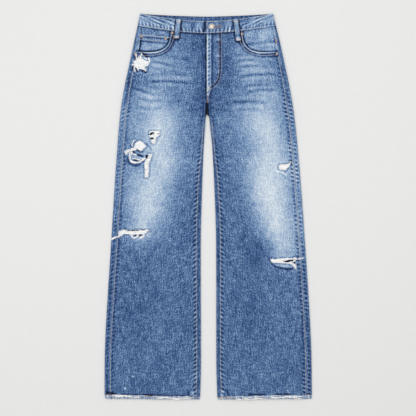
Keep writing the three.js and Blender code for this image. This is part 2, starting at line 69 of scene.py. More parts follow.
CAD_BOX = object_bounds()
BACK_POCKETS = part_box("back_pocket_right"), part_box("back_pocket_left")
CENTRE_FRONT = (BACK_POCKETS[0][0].x + BACK_POCKETS[1][1].x) / 2
ORIGIN = np.array([CENTRE_FRONT, CAD_BOX[0].y, 0.0])
MM = 0.001
RIGHT, LEFT = -1, 1  # the wearer's right leg is on the side of negative x
SIDE = {RIGHT: "right", LEFT: "left"}

# ---- Walls and layers, in millimetres
DENIM = 1.2
BAND = 2.6
PATCH = 1.5
BAG = 1.0
GAP = 0.3
FOLD_RADIUS = 3.0
HIP_LIFT = 1.8
HIP_TOP = HIP_LIFT + 2 * FOLD_RADIUS
BAND_LIFT = 1.0  # the waistband stands this far proud of the panels that are sewn to it
BAND_TOP = HIP_TOP + BAND_LIFT

# ---- Outline: pairs of height above the hem and distance from the centre front
OUTER_RIGHT = [[0, 291], [170, 289], [450, 272], [700, 256], [852, 241], [1000, 211], [1100, 189]]
OUTER_LEFT = [[0, 301], [170, 298], [450, 281], [700, 262], [852, 244], [1000, 214], [1100, 190]]
INNER_RIGHT = [[0, 18.5], [100, 16], [450, 16.5], [560, 14], [711, 8.6], [780, 4.1], [808, 2.1],
               [815, -0.99]]
INNER_LEFT = [[0, 31], [100, 28.2], [450, 27.4], [560, 24.4], [711, 17.2], [780, 10.6], [808, 7.2],
              [815, 1.01]]
OUTSEAM_INSET = [[0, 15], [852, 15], [1000, 11], [1066, 5.5]]
INSEAM_INSET = [[0, 10], [600, 10], [711, 4.4], [815, 4.4]]
CENTRE = 1.0
FORK = 815.0
CROTCH = 851.0
WAIST_HALF = 189.0
BAND_HEIGHT = 34.5
CORNER_HEIGHT = 1101.5
FRONT_DIP = 21.5
BACK_DIP = 8.0
DIP_POWER = 1.6
BUTTON_AT = (14.5, 1064)
POCKET_FOOT = [(0, 832), (0.5, 816), (1, 838)]  # the back pockets' pointed foot, by share of its width
COIN_TOP = [(-200, 1043.7), (-99, 1034.5)]
HEM_REACH = 45.0  # how far up the leg the rows still follow the hem
YOKE_CENTRE = 988.0
YOKE_SIDE = 1024.0
HEM_INNER = 9.0
HEM_RISE = 6.0


def curve(pairs):
    """A smooth curve through pairs of height and value, flat beyond both ends: cubics whose slope at
    each knot is that of the chord between its neighbours."""
    high, value = np.array(pairs, float).T
    last = len(high) - 1
    near = np.arange(len(high))
    before, after = np.maximum(near - 1, 0), np.minimum(near + 1, last)
    slope = (value[after] - value[before]) / (high[after] - high[before])

    def at(y):
        y = np.clip(np.asarray(y, float), high[0], high[-1])
        i = np.clip(np.searchsorted(high, y), 1, last)
        span = high[i] - high[i - 1]
        rise = value[i] - value[i - 1]
        t = (y - high[i - 1]) / span
        start, end = slope[i - 1] * span - rise, rise - slope[i] * span
        return value[i - 1] + rise * t + t * (1 - t) * (start * (1 - t) + end * t)

    return at


def line(pairs):
    """A curve of straight stretches through pairs of height and value."""
    high, value = np.array(pairs, float).T
    return lambda y: np.interp(y, high, value)


OUTER = {RIGHT: curve(OUTER_RIGHT), LEFT: curve(OUTER_LEFT)}
INNER = {RIGHT: curve(INNER_RIGHT), LEFT: curve(INNER_LEFT)}
outseam_inset = curve(OUTSEAM_INSET)
inseam_inset = curve(INSEAM_INSET)


def smooth(v, low, high):
    """0 below low, 1 above high, and an S curve between."""
    t = np.clip((np.asarray(v, float) - low) / (high - low), 0, 1)
    return t * t * (3 - 2 * t)


def bell(v, width):
    """1 where v is 0, falling to nothing as a Gaussian of that width."""
    return np.exp(-((v / width) ** 2))


def mix(a, b, t):
    """A straight blend, a where t is 0 and b where t is 1."""
    return a + (b - a) * t


def ground(y):
    """The lowest layer: the legs lie on the floor and the seat on the back pockets."""
    return HIP_LIFT * smooth(y, 700, 800)


def dip(x):
    """0 at the centre and 1 at the sides of the waist: a power of the distance."""
    return np.minimum(np.abs(x) / WAIST_HALF, 1) ** DIP_POWER


def front_band_top(x):
    """The waistband's top edge in front, lowest at the centre."""
    return CORNER_HEIGHT - FRONT_DIP * (1 - dip(x))


def back_band_top(x):
    """The waistband's top edge at the back, lowest at the centre."""
    return CORNER_HEIGHT - BACK_DIP * (1 - dip(x))


def yoke_seam(x):
    """The yoke's lower seam: it rises in a straight line from the centre back."""
    return mix(YOKE_CENTRE, YOKE_SIDE, np.abs(x) / OUTER[RIGHT](YOKE_SIDE))


def cloth_hem(side, x):
    """The height of the raw edge of a leg, which rises outwards and wavers where it was cut."""
    across = (np.abs(x) - INNER[side](0)) / (OUTER[side](0) - INNER[side](0))
    return HEM_INNER + HEM_RISE * across + 1.3 * soft_noise(x, 0, 13, 41)


LATTICE = 97  # points along each side of the noise's lattice, after which it repeats


def soft_noise(x, y, pitch, seed):
    """Smooth values from -1 to 1: a seeded lattice of random numbers, pitch millimetres apart, with
    an S curve between its points."""
    lattice = np.random.default_rng(seed).uniform(-1, 1, (LATTICE, LATTICE))
    u, v = np.asarray(x, float) / pitch + 41.3, np.asarray(y, float) / pitch + 17.7
    i, j = np.floor(u).astype(int), np.floor(v).astype(int)
    s, t = smooth(u - i, 0, 1), smooth(v - j, 0, 1)
    at = lambda di, dj: lattice[(i + di) % LATTICE, (j + dj) % LATTICE]
    return mix(mix(at(0, 0), at(1, 0), s), mix(at(0, 1), at(1, 1), s), t)


def trace(path, x, y):
    """Each point's distance from a path of straight stretches, signed by its side, how far along the
    path the nearest place is, from 0 to 1, and that place."""
    path = np.array(path, float)
    steps = np.diff(path, axis=0)
    lengths = np.hypot(*steps.T)
    starts = np.concatenate([[0], np.cumsum(lengths)])
    x, y = np.broadcast_arrays(np.asarray(x, float), np.asarray(y, float))
    best = np.full(x.shape, 1e9)
    signed, share = np.zeros(x.shape), np.zeros(x.shape)
    nearest = np.stack([x, y], axis=-1)
    for (x0, y0), (dx, dy), length, start in zip(path, steps, lengths, starts):
        t = np.clip(((x - x0) * dx + (y - y0) * dy) / length**2, 0, 1)
        away = np.hypot(x - x0 - t * dx, y - y0 - t * dy)
        side = np.where((y - y0) * dx - (x - x0) * dy < 0, -1.0, 1.0)
        near = away < best
        best = np.where(near, away, best)
        signed = np.where(near, away * side, signed)
        share = np.where(near, (start + t * length) / starts[-1], share)
        foot = np.stack([x0 + t * dx, y0 + t * dy], axis=-1)
        nearest = np.where(near[..., None], foot, nearest)
    return signed, share, nearest


# ---- Creases set by wear, each a path with its width, its depth and how dark its trough is painted, as shade
CREASES = [
    ([(-157, 965), (-125, 960), (-92, 951)], 4.5, 1.3, 0.3),
    ([(-160, 949), (-126, 940)], 4.0, 0.9, 0.2),
    ([(-174, 908), (-110, 909), (-38, 902)], 5.5, 1.6, 0.32),
    ([(-218, 892), (-180, 881), (-143, 868)], 5.0, 1.3, 0.28),
    ([(-200, 863), (-160, 852), (-118, 855)], 5.0, 1.0, 0.2),
    ([(-205, 838), (-165, 829), (-120, 833)], 5.0, 0.9, 0.16),
    ([(-120, 985), (-80, 973), (-40, 968)], 5.0, 0.8, 0.14),
    ([(-112, 931), (-70, 929), (-25, 925)], 5.0, 0.8, 0.14),
    ([(84, 965), (112, 970), (139, 968)], 4.5, 1.3, 0.3),
    ([(92, 948), (125, 953), (156, 953)], 4.5, 1.2, 0.26),
    ([(84, 921), (140, 928), (205, 930)], 5.5, 1.6, 0.34),
    ([(107, 894), (145, 899), (185, 896)], 4.5, 1.2, 0.24),
    ([(112, 877), (160, 885), (202, 883)], 5.0, 1.3, 0.28),
    ([(60, 846), (120, 852), (182, 846)], 6.5, 1.2, 0.26),
    ([(70, 824), (120, 829), (160, 826)], 5.0, 0.8, 0.12),
    ([(60, 990), (90, 985), (125, 980)], 5.0, 0.8, 0.12),
]

# ---- Single marks of wear and of painted shade and shadow: a path, its half width and the change of the wash value
MARKS = [
    ([(-184, 982), (-178, 977.5), (-171, 971)], 3.0, 1.1),
    ([(-184, 988), (-174, 983), (-166, 974)], 2.4, -1.6),
    ([(-205, 984), (-204, 973)], 2.6, -0.9), ([(-210, 951), (-211, 940)], 2.6, -1.2),
    ([(-199, 946), (-197, 937)], 2.6, -1.1), ([(-186, 939), (-172, 934)], 2.4, -1.1),
    ([(-166, 948), (-166, 943)], 2.4, -0.7), ([(-163, 957), (-168, 946)], 3.4, 0.5),
    ([(-200, 716), (-193, 712), (-185, 707)], 2.0, -2.0),
    ([(-199, 700), (-190, 698), (-182, 694.5)], 2.4, -1.6),
    ([(-206, 684), (-198, 683)], 2.2, -1.5), ([(-196, 681), (-194, 680)], 2.4, -1.3),
    ([(-183, 680), (-182, 679)], 2.2, -1.3), ([(-210, 709), (-206, 706)], 2.2, -1.4),
    ([(-220, 701), (-217, 699)], 2.2, -1.3), ([(-215, 726), (-213, 724)], 2.2, -1.2),
    ([(-224, 690), (-222, 678), (-209, 670), (-198, 669), (-188, 673)], 2.4, -0.9),
    ([(-170, 732), (-162, 722), (-156, 712)], 2.6, -0.7),
    ([(-208, 695), (-196, 691), (-186, 690)], 3.0, 0.45),
    ([(189, 390), (198, 387), (213, 384), (227, 382), (241, 382)], 3.8, 0.38),
    ([(184, 390), (196, 381.5), (209, 378), (220, 375.5), (233, 374), (244, 375)], 1.9, -1.4),
    ([(205, 652), (214, 649), (222, 645), (228, 640)], 2.6, 0.5),
    ([(209, 648), (221, 640), (225, 634)], 2.0, -0.6),
    ([(-210.6, 67.5), (-209, 67)], 1.8, 1.4), ([(-233.4, 33.3), (-232, 33)], 2.0, 1.4),
    ([(-284, 22), (-268, 19), (-262, 17)], 3.0, -1.3), ([(-240, 16), (-190, 14)], 2.2, -0.8),
    ([(-180, 15), (-150, 14)], 2.6, -1.4), ([(-140, 13.5), (-60, 11.5)], 2.2, -0.8),
    ([(-41, 24), (-36, 12)], 3.6, 0.7), ([(-52, 26), (-52, 14)], 2.6, -0.8),
    ([(46, 24), (44, 13)], 4.0, 0.7), ([(60, 28), (62, 14)], 2.6, -0.8),
    ([(120, 16), (167, 15)], 2.2, -0.9), ([(198, 16), (214, 16)], 2.4, -1.2),
    ([(222, 16.5), (236, 17)], 2.4, -1.3), ([(231, 28), (236, 18)], 2.4, 0.7),
    ([(213, 950), (216, 922)], 3.5, -0.4), ([(227, 884), (231, 853)], 4.0, -0.35),
    ([(-222, 905), (-229, 850)], 3.0, -0.45), ([(-219, 925), (-221, 910)], 3.5, -0.4),
]

# ---- Soft patches, paler or darker: change of the wash value, centre and half width across, then the same along
SHADES = [
    (-0.16, 122, 34, 490, 62), (-0.12, 242, 24, 540, 62), (0.16, -50, 32, 930, 50),
    (-0.16, 68, 22, 940, 60), (0.18, -105, 36, 800, 42), (0.14, 130, 60, 800, 50),
    (0.12, 150, 40, 600, 60), (-0.24, 165, 30, 420, 44), (0.2, 205, 24, 890, 60),
    (-0.14, 142, 26, 866, 24), (-0.1, -195, 40, 215, 70), (0.1, -40, 26, 50, 50),
    (0.15, -208, 30, 655, 60), (-0.09, 35, 26, 690, 60), (0.1, 136, 26, 660, 70),
    (-0.09, -118, 40, 90, 60), (-0.09, 136, 30, 260, 50), (0.1, 262, 20, 220, 80),
    (0.16, 27, 9, 975, 60), (-0.1, -105, 26, 1010, 40), (0.1, -282, 8, 300, 110),
    (0.1, 292, 8, 280, 110),
]

# ---- Where the thighs are worn pale: height, centre, strength, reach inwards and outwards
FADE_RIGHT = [
    (398, -183, 0.0, 36, 36), (421, -183, 0.1, 36, 36), (444, -180, 0.25, 36, 38),
    (466, -180, 0.5, 38, 40), (489, -178, 0.7, 38, 42), (512, -172, 0.83, 38, 42),
    (535, -169, 0.9, 38, 44), (580, -164, 0.88, 44, 48), (626, -147, 0.82, 50, 42),
    (672, -132, 0.82, 38, 46), (717, -137, 0.85, 40, 44), (763, -140, 0.92, 46, 42),
    (808, -140, 0.72, 54, 42), (854, -158, 0.5, 48, 44), (877, -160, 0.4, 46, 44),
    (930, -160, 0.0, 40, 40),
]
FADE_LEFT = [
    (352, 220, 0.0, 34, 30), (375, 220, 0.2, 34, 34), (398, 220, 0.5, 34, 36),
    (421, 219, 0.68, 36, 38), (444, 216, 0.73, 40, 40), (466, 209, 0.82, 44, 42),
    (489, 204, 0.95, 48, 46), (535, 195, 1.0, 48, 50), (580, 187, 1.0, 48, 52),
    (626, 184, 0.98, 48, 52), (672, 182, 0.92, 46, 50), (717, 184, 0.87, 46, 46),
    (763, 173, 0.88, 48, 42), (808, 165, 0.72, 46, 40), (831, 168, 0.55, 44, 38),
    (877, 170, 0.4, 40, 36), (930, 170, 0.0, 40, 36),
]


def thigh_fade(x, y, knots):
    """The pale thigh: at each height a Gaussian across the leg, whose centre, strength and reach to
    each side run straight between the knots."""
    high, centre, strength, left, right = np.array(knots, float).T
    c = np.interp(y, high, centre)
    reach = 1.38 * np.where(x < c, np.interp(y, high, left), np.interp(y, high, right))
    return np.interp(y, high, strength) * np.exp(-(np.abs(x - c) / reach) ** 2.0)


def edge_gaps(x, y):
    """How far a point on top lies inside the outer fold and inside the folded inner edge."""
    out = np.where(x < CENTRE, x + OUTER[RIGHT](y), OUTER[LEFT](y) - x)
    inner = np.where(x < CENTRE, -INNER[RIGHT](y) - x, x - INNER[LEFT](y))
    return out, inner + 60 * smooth(y, FORK + 20, CROTCH)


def top_height(x, y):
    """The upper surface: a rounded fold at each edge, a low crown between them, slow waves, the
    creases' troughs with a ridge on both sides, the puckers of the seams, and the fly's step."""
    x, y = np.broadcast_arrays(np.asarray(x, float), np.asarray(y, float))
    size = bpy.context.scene.jeans_cloth
    out, inner = edge_gaps(x, y)
    edge = np.minimum(out, inner)
    short = np.clip(FOLD_RADIUS - edge, 0, FOLD_RADIUS)
    fold = FOLD_RADIUS + np.sqrt(np.maximum(FOLD_RADIUS**2 - short**2, 0))
    inside = 1 - np.exp(-np.maximum(edge - FOLD_RADIUS, 0) / 16)
    below_band = 1 - smooth(y, 985, 1050)
    off_hem = smooth(y, 5, 60)
    z = ground(y) + fold + size.crown * inside * below_band * (0.35 + 0.65 * off_hem)
    wave = 0.9 * soft_noise(x, y * 0.7, 95, 3) + 0.5 * soft_noise(x, y, 38, 5)
    wave += 0.18 * soft_noise(x, y, 13, 6)
    z = z + size.drape * wave * inside * (0.3 + 0.7 * below_band)
    for path, width, depth, _ in CREASES:
        away, share, _ = trace(path, x, y)
        ends = smooth(share, 0, 0.22) * (1 - smooth(share, 0.78, 1))
        trough = bell(away, width) - 0.45 * bell(np.abs(away) - 2.1 * width, width)
        z = z - size.crease * depth * ends * trough
    z = z + seam_pucker(x, y) * 0.55
    z = z + 0.8 * bell(trace(KNEE_FLAP, x, y)[0], 5.5)
    fly = smooth(x, 0, 1.5) * (1 - smooth(x, 37, 43)) * smooth(y, 884, 896)
    z = z + 1.1 * fly * (1 - smooth(y, 1030, 1060))
    for height in HIDDEN_BUTTONS:
        z = z + 0.9 * bell(np.hypot(x - 26, y - height), 8)
    return z


KNEE_FLAP = [(187, 390), (198, 386), (213, 382.5), (227, 380), (241, 380)]
HIDDEN_BUTTONS = (1026, 978, 932)
ROPE_PITCH = 11.4
LADDER_PITCH = 12.5


def seam_distance(x, y):
    """How far a point lies from the outseam, positive towards the front, and from the inseam."""
    out, _ = edge_gaps(x, y)
    raw_inner = np.where(x < CENTRE, -INNER[RIGHT](y) - x, x - INNER[LEFT](y))
    return out - outseam_inset(y), raw_inner - inseam_inset(y)


def seam_pucker(x, y):
    """Ridges where thread has drawn up the seams: a wave along each seam that dies away on both
    sides, straight on the outseam and slanted on the inseam."""
    out, inner = seam_distance(x, y)
    uneven = 2.2 * soft_noise(x * 0.2, y, 23, 8)
    rope = np.sin(2 * np.pi * (y + uneven - 0.35 * out) / ROPE_PITCH)
    drawn = np.where(x < CENTRE, 0.5, 0.8) * (1 + 0.9 * soft_noise(x * 0.1, y, 31, 14))
    drawn = drawn * (1 - 0.5 * (x > CENTRE) * smooth(y, 830, 880))
    value = rope * drawn * bell(np.abs(out) - 7, 3.6) * (1 - smooth(y, 960, 1000))
    slant = np.sin(2 * np.pi * (y + uneven + 0.6 * inner) / LADDER_PITCH)
    return value + slant * bell(inner - 6, 5) * (1 - smooth(y, FORK - 150, FORK - 60))


def wash_at(x, y):
    """How much indigo is worn away, with painted light and shade added: 0 is the plain cloth, 1 the palest
    thigh, below 0 is darker, mostly painted shade along the seams, in the creases, under the waistband and
    beside the belt loops and the fly.
    """
    x, y = np.broadcast_arrays(np.asarray(x, float), np.asarray(y, float))
    w = np.where(x < CENTRE, thigh_fade(x, y, FADE_RIGHT), thigh_fade(x, y, FADE_LEFT))
    hips = smooth(y, 840, 880) * (1 - smooth(y, 1000, 1040))
    w += 0.4 * hips * bell(np.abs(x) - 140, 62)
    w -= 0.06 * smooth(y, 820, 860) * bell(np.abs(x) - 30, 30)
    inner_thigh = smooth(y, 600, 690) * (1 - smooth(y, 800, 850))
    w += 0.1 * inner_thigh * bell(x + 62, 34) + 0.14 * inner_thigh * bell(x - 80, 40)
    w += 0.12 * bell(x + 228, 32) * smooth(y, 480, 560) * (1 - smooth(y, 800, 850))
    w -= 0.38 * bell(np.abs(x) - 165, 66) * bell(y - 893, 30)
    for change, cx, wide, cy, high in SHADES:
        w += change * bell(x - cx, wide) * bell(y - cy, high)
    w += 0.06 * soft_noise(x, y * 0.5, 46, 11) + 0.05 * soft_noise(x, y * 0.6, 17, 12)
    w += 0.05 * soft_noise(x * 1.6, y * 0.3, 12, 13) * (1 - smooth(y, 420, 560))
    out, inner = seam_distance(x, y)
    w += 0.24 * bell(out + 8, 5) * smooth(y, 380, 520) * (1 - smooth(y, 990, 1020))
    # The seams' pucker ridges are painted pale and their troughs dark, partly wear and partly painted light
    # and shade; the dark lines beside the seams are painted shade, and the pale line on each seam is wear.
    w += 0.7 * seam_pucker(x, y) - 0.35 * bell(np.abs(out) - 7, 3.0) - 0.22 * bell(inner - 6, 4)
    w += 0.22 * bell(out, 2.4) + 0.18 * bell(inner, 2.4) - 0.3 * bell(inner + 3.6, 2.4)
    for path, width, change in MARKS:
        w += change * bell(trace(path, x, y)[0], width)
    # Each crease's trough is painted dark as shade, and the ridges beside it pale as wear.
    for path, width, _, dark in CREASES:
        away, share, _ = trace(path, x, y)
        ends = smooth(share, 0, 0.2) * (1 - smooth(share, 0.8, 1))
        w -= dark * ends * bell(away, 0.62 * width)
        w += 0.75 * dark * ends * bell(np.abs(away) - 1.7 * width, width)
    # Painted shadow just under the waistband's lower edge.
    band_gap = front_band_top(np.clip(x, -WAIST_HALF, WAIST_HALF)) - BAND_HEIGHT - y
    w -= 1.1 * bell(band_gap - 0.6, 3.0)
    # Painted shadow beside each front belt loop and just under its lower end.
    for _, top, low, end in FRONT_LOOPS:
        middle = low + (top - low) * (y - end) / 48
        beside = bell(np.abs(x - middle) - 7.6, 2.4) * smooth(y, end - 5, end)
        w = w - 1.3 * beside - 1.2 * bell(y - end + 3.4, 2.4) * (np.abs(x - middle) < 7.5)
    return w + fly_wear_and_shade(x, y) - crotch_shade(x, y)


def crotch_shade(x, y):
    """The dark wedge where the two legs' inner folds meet below the seam at the crotch."""
    wedge = smooth(y, 808, 815) * (1 - smooth(y, 840, 853))
    return 2.4 * wedge * bell(x - 1.7, 2.6 + 2.2 * np.clip((853 - y) / 40, 0, 1))


def fly_wear_and_shade(x, y):
    """The fly's worn, pale edge; dark slanted ticks and dark marks between the J stitch's two rows, as
    painted shade; a painted shadow beside the fly's step; and a painted highlight above and a painted
    shadow below each hidden button's bump.
    """
    rows = smooth(y, 852, 862) * (1 - smooth(y, 1046, 1056))
    wide = mix(1.0, 13.0, smooth(y, 848, 892))
    strip = smooth(x, 0, 1.5) * (1 - smooth(x - wide, -1.5, 1.5)) * rows
    uneven = 3.0 * soft_noise(x * 0.2, y, 19, 9)
    ticks = np.sin(2 * np.pi * (y + uneven - 0.7 * x) / 11.6)
    w = strip * (0.66 + 0.95 * bell(x - 2.0, 2.6) + 0.3 * bell(x - 11, 2.4))
    # Painted shade in slanted ticks down the middle of the strip, where the stitching puckers it.
    w -= (0.75 + 0.65 * ticks) * bell(x - 0.52 * wide, 2.4) * rows
    # Painted shadow beside the fly's step, and painted shade beyond the strip's far side.
    w = w - (1.5 + 0.5 * np.sin(y / 7)) * bell(x + 2.2, 1.7) * rows - 0.35 * bell(x - wide - 4, 2.6) * rows
    # Painted shade between the J stitch's two rows.
    away, share, _ = trace(J_MIDDLE, x, y)
    between_rows = bell(away, 2.6) * smooth(share, 0, 0.03)
    nicks = np.sin(2 * np.pi * (y + 2 * uneven + 0.4 * x) / 9.0)
    w -= (0.6 + 0.55 * nicks) * between_rows
    # A painted highlight above each hidden button's bump and a painted shadow below it.
    for height in HIDDEN_BUTTONS:
        w += 0.55 * bell(x - 33, 6) * bell(y - height - 3, 3.5)
        w -= 0.5 * bell(x - 35, 5) * bell(y - height + 4.5, 3.0)
    return w


# ---- Mesh building
CUTS = {}  # each cloth piece's flat width, length and area in metres


def new_object(name, points, corners, counts, look, uv=None, **values):
    """A mesh object from points in garment millimetres, the corners of all its faces in one row and
    how many each face has, with one number per point for each named attribute."""
    mesh = bpy.data.meshes.new(name)
    mesh.vertices.add(len(points))
    mesh.vertices.foreach_set("co", (points * MM + ORIGIN).astype(np.float32).ravel())
    mesh.loops.add(len(corners))
    mesh.loops.foreach_set("vertex_index", corners.astype(np.int32))
    mesh.polygons.add(len(counts))
    starts = np.concatenate([[0], np.cumsum(counts)[:-1]])
    mesh.polygons.foreach_set("loop_start", starts.astype(np.int32))
    mesh.update(calc_edges=True)
    mesh.polygons.foreach_set("use_smooth", np.ones(len(counts), bool))
    if uv is not None:
        layer = mesh.uv_layers.new(name="cloth")
        layer.data.foreach_set("uv", uv[corners].astype(np.float32).ravel())
    for key, value in values.items():
        mesh.attributes.new(key, "FLOAT", "POINT")
        mesh.attributes[key].data.foreach_set("value", value.astype(np.float32).ravel())
    if mesh.validate():
        raise RuntimeError(f"{name}: its mesh had faults")
    mesh.materials.append(look)
    piece = bpy.data.objects.new(name, mesh)
    bpy.context.scene.collection.objects.link(piece)
    return piece


def place(piece, slot, replaced=()):
    """Declares what a piece rides on and hides the solids it replaces; its slot is not used."""
    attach(piece, "root")
    if replaced:
        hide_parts(*replaced)
    return piece


def grid_faces(rows, columns, ring=False):
    """The corners of a grid's squares, anticlockwise seen from above where x grows with the column
    and y with the row."""
    index = np.arange(rows * columns).reshape(rows, columns)
    if ring:
        index = np.concatenate([index, index[:, :1]], axis=1)
    return np.stack([index[:-1, :-1], index[:-1, 1:], index[1:, 1:], index[1:, :-1]], axis=-1)


def cloth(name, points, wash, replaced, slot="denim_panels", look=None, wall=DENIM, keep=None,
          flip=False):
    """A piece of cloth: a grid of points on its outer face, and a wall grown inwards from it."""
    rows, columns = points.shape[:2]
    squares = grid_faces(rows, columns)
    across = np.linalg.norm(np.diff(points, axis=1), axis=2)
    up = np.linalg.norm(np.diff(points, axis=0), axis=2)
    left_out = np.cumsum(np.pad(across, ((0, 0), (1, 0))), axis=1)
    uv = np.stack([left_out - left_out[:, -1:] / 2, points[..., 1]], axis=-1) * MM
    corner = points.reshape(-1, 3)[squares]
    cross = np.cross(corner[..., 2, :] - corner[..., 0, :], corner[..., 3, :] - corner[..., 1, :])
    areas = np.linalg.norm(cross, axis=-1) / 2
    if keep is not None:
        squares, areas = squares[keep], areas[keep]
    squares = squares.reshape(-1, 4)
    used, squares = np.unique(squares, return_inverse=True)
    squares = squares.reshape(-1, 4)
    if flip:
        squares = squares[:, ::-1]
    CUTS[name] = (across.sum(axis=1).max() * MM, up.sum(axis=0).max() * MM, areas.sum() * MM * MM)
    piece = new_object(
        name, points.reshape(-1, 3)[used], squares.ravel(), np.full(len(squares), 4),
        look or denim(), uv.reshape(-1, 2)[used], wash=wash.ravel()[used])
    shell = piece.modifiers.new("wall", "SOLIDIFY")
    shell.thickness = wall * MM
    shell.offset = -1
    shell.use_even_offset = False
    return place(piece, slot, replaced)


def tubes(name, paths, radii, look, slot, tone, replaced=(), sides=5):
    """Many short threads in one mesh. Each follows its own path of points, with a ring of sides
    round every point, square to the path, and closed ends."""
    count, steps = paths.shape[:2]
    forward = np.gradient(paths, axis=1)
    forward /= np.maximum(np.linalg.norm(forward, axis=2, keepdims=True), 1e-9)
    upright = np.zeros_like(forward)
    upright[..., 2] = 1.0
    steep = np.abs(forward[..., 2]) > 0.9
    upright[steep] = (0.0, 1.0, 0.0)
    sideways = np.cross(forward, upright)
    sideways /= np.maximum(np.linalg.norm(sideways, axis=2, keepdims=True), 1e-9)
    top = np.cross(sideways, forward)
    turn = 2 * np.pi * np.arange(sides) / sides
    radii = np.broadcast_to(radii, (count, steps))[..., None, None]
    ring = np.cos(turn)[:, None] * sideways[:, :, None] + np.sin(turn)[:, None] * top[:, :, None]
    points = (paths[:, :, None] + radii * ring).reshape(-1, 3)
    first = np.arange(count)[:, None, None, None] * steps * sides
    step = np.arange(steps - 1)[None, :, None, None] * sides
    here = np.arange(sides)[None, None, :, None]
    after = (here + 1) % sides
    quads = first + step + np.concatenate([here, here + sides, after + sides, after], axis=-1)
    quads = quads[..., ::-1].reshape(-1)
    base = np.arange(count)[:, None] * steps * sides
    bottoms = (base + np.arange(sides)[None, :]).reshape(-1)
    tops = (base + (steps - 1) * sides + np.arange(sides)[None, ::-1]).reshape(-1)
    corners = np.concatenate([quads, tops, bottoms])
    counts = np.concatenate([np.full(quads.size // 4, 4), np.full(2 * count, sides)])
    tone = np.broadcast_to(np.asarray(tone, float).reshape(-1, 1), (count, steps * sides))
    piece = new_object(name, points, corners, counts, look, tone=tone)
    return place(piece, slot, replaced)


# ---- Materials
def linear(code):
    """An sRGB hex colour as linear red, green, blue and alpha."""
    parts = [int(code[i:i + 2], 16) / 255 for i in (0, 2, 4)]
    return tuple(c / 12.92 if c <= 0.04045 else ((c + 0.055) / 1.055) ** 2.4 for c in parts) + (1,)


def node(tree, kind, inputs=None, **settings):
    """Adds one node. Settings are set by name, and each input takes a value or another's output."""
    made = tree.nodes.new(kind)
    for key, value in settings.items():
        setattr(made, key, value)
    for key, value in (inputs or {}).items():
        if isinstance(value, bpy.types.NodeSocket):
            tree.links.new(value, made.inputs[key])
        else:
            made.inputs[key].default_value = value
    return made


def ramp(tree, factor, stops):
    """A colour ramp read at factor, through stops of place and colour, a code or linear numbers."""
    made = node(tree, "ShaderNodeValToRGB", {"Fac": factor})
    while len(made.color_ramp.elements) < len(stops):
        made.color_ramp.elements.new(0.5)
    for element, (at, colour) in zip(made.color_ramp.elements, stops):
        element.position = at
        element.color = linear(colour) if isinstance(colour, str) else colour
    return made.outputs["Color"]


def material(name, build):
    """The material of that name, made the first time by build, which gets its tree and its shader."""
    found = bpy.data.materials.get(name)
    if found is None:
        found = bpy.data.materials.new(name)
        found.use_nodes = True
        build(found.node_tree, found.node_tree.nodes["Principled BSDF"])
    return found


def matt(tree, shader, colour, relief, strength, depth, roughness, specular=None):
    """Joins a colour and a bump of that depth in metres to the shader, and sets how matt it is."""
    tree.links.new(colour, shader.inputs["Base Color"])
    bump = node(tree, "ShaderNodeBump", {"Height": relief, "Strength": strength, "Distance": depth})
    tree.links.new(bump.outputs["Normal"], shader.inputs["Normal"])
    shader.inputs["Roughness"].default_value = roughness
    if specular is not None:
        shader.inputs["Specular IOR Level"].default_value = specular


def cloth_inputs(tree):
    """Where a point lies on its cloth, in metres, and its value of wear with painted shade."""
    where = node(tree, "ShaderNodeUVMap", uv_map="cloth").outputs["UV"]
    return where, node(tree, "ShaderNodeAttribute", attribute_name="wash").outputs["Fac"]


def thread_inputs(tree):
    """Where a point lies in space, and the tone of its thread or metal."""
    where = node(tree, "ShaderNodeTexCoord").outputs["Object"]
    return where, node(tree, "ShaderNodeAttribute", attribute_name="tone").outputs["Fac"]


def speckle(tree, where, size, stretch=(1, 1, 1), detail=3.0):
    """Noise whose grains are about size metres, divided by stretch along each axis, and lean with
    the twill."""
    scaled = node(tree, "ShaderNodeMapping", {
        "Vector": where, "Scale": stretch, "Rotation": (0, 0, math.radians(18))})
    return node(tree, "ShaderNodeTexNoise", {
        "Vector": scaled.outputs["Vector"], "Scale": 1 / size, "Detail": detail,
        "Roughness": 0.62}, noise_dimensions="3D").outputs["Fac"]


def blend_sum(tree, start, *parts):
    """start plus each part's value, counted from its middle of 0.5, times its weight."""
    total = start
    for value, weight in parts:
        centred = node(tree, "ShaderNodeMath", {0: value, 1: 0.5}, operation="SUBTRACT")
        total = node(tree, "ShaderNodeMath", {0: centred.outputs[0], 1: weight, 2: total},
                     operation="MULTIPLY_ADD").outputs[0]
    return total


WEAR_SHADE_RANGE = (-1.3, 1.3)


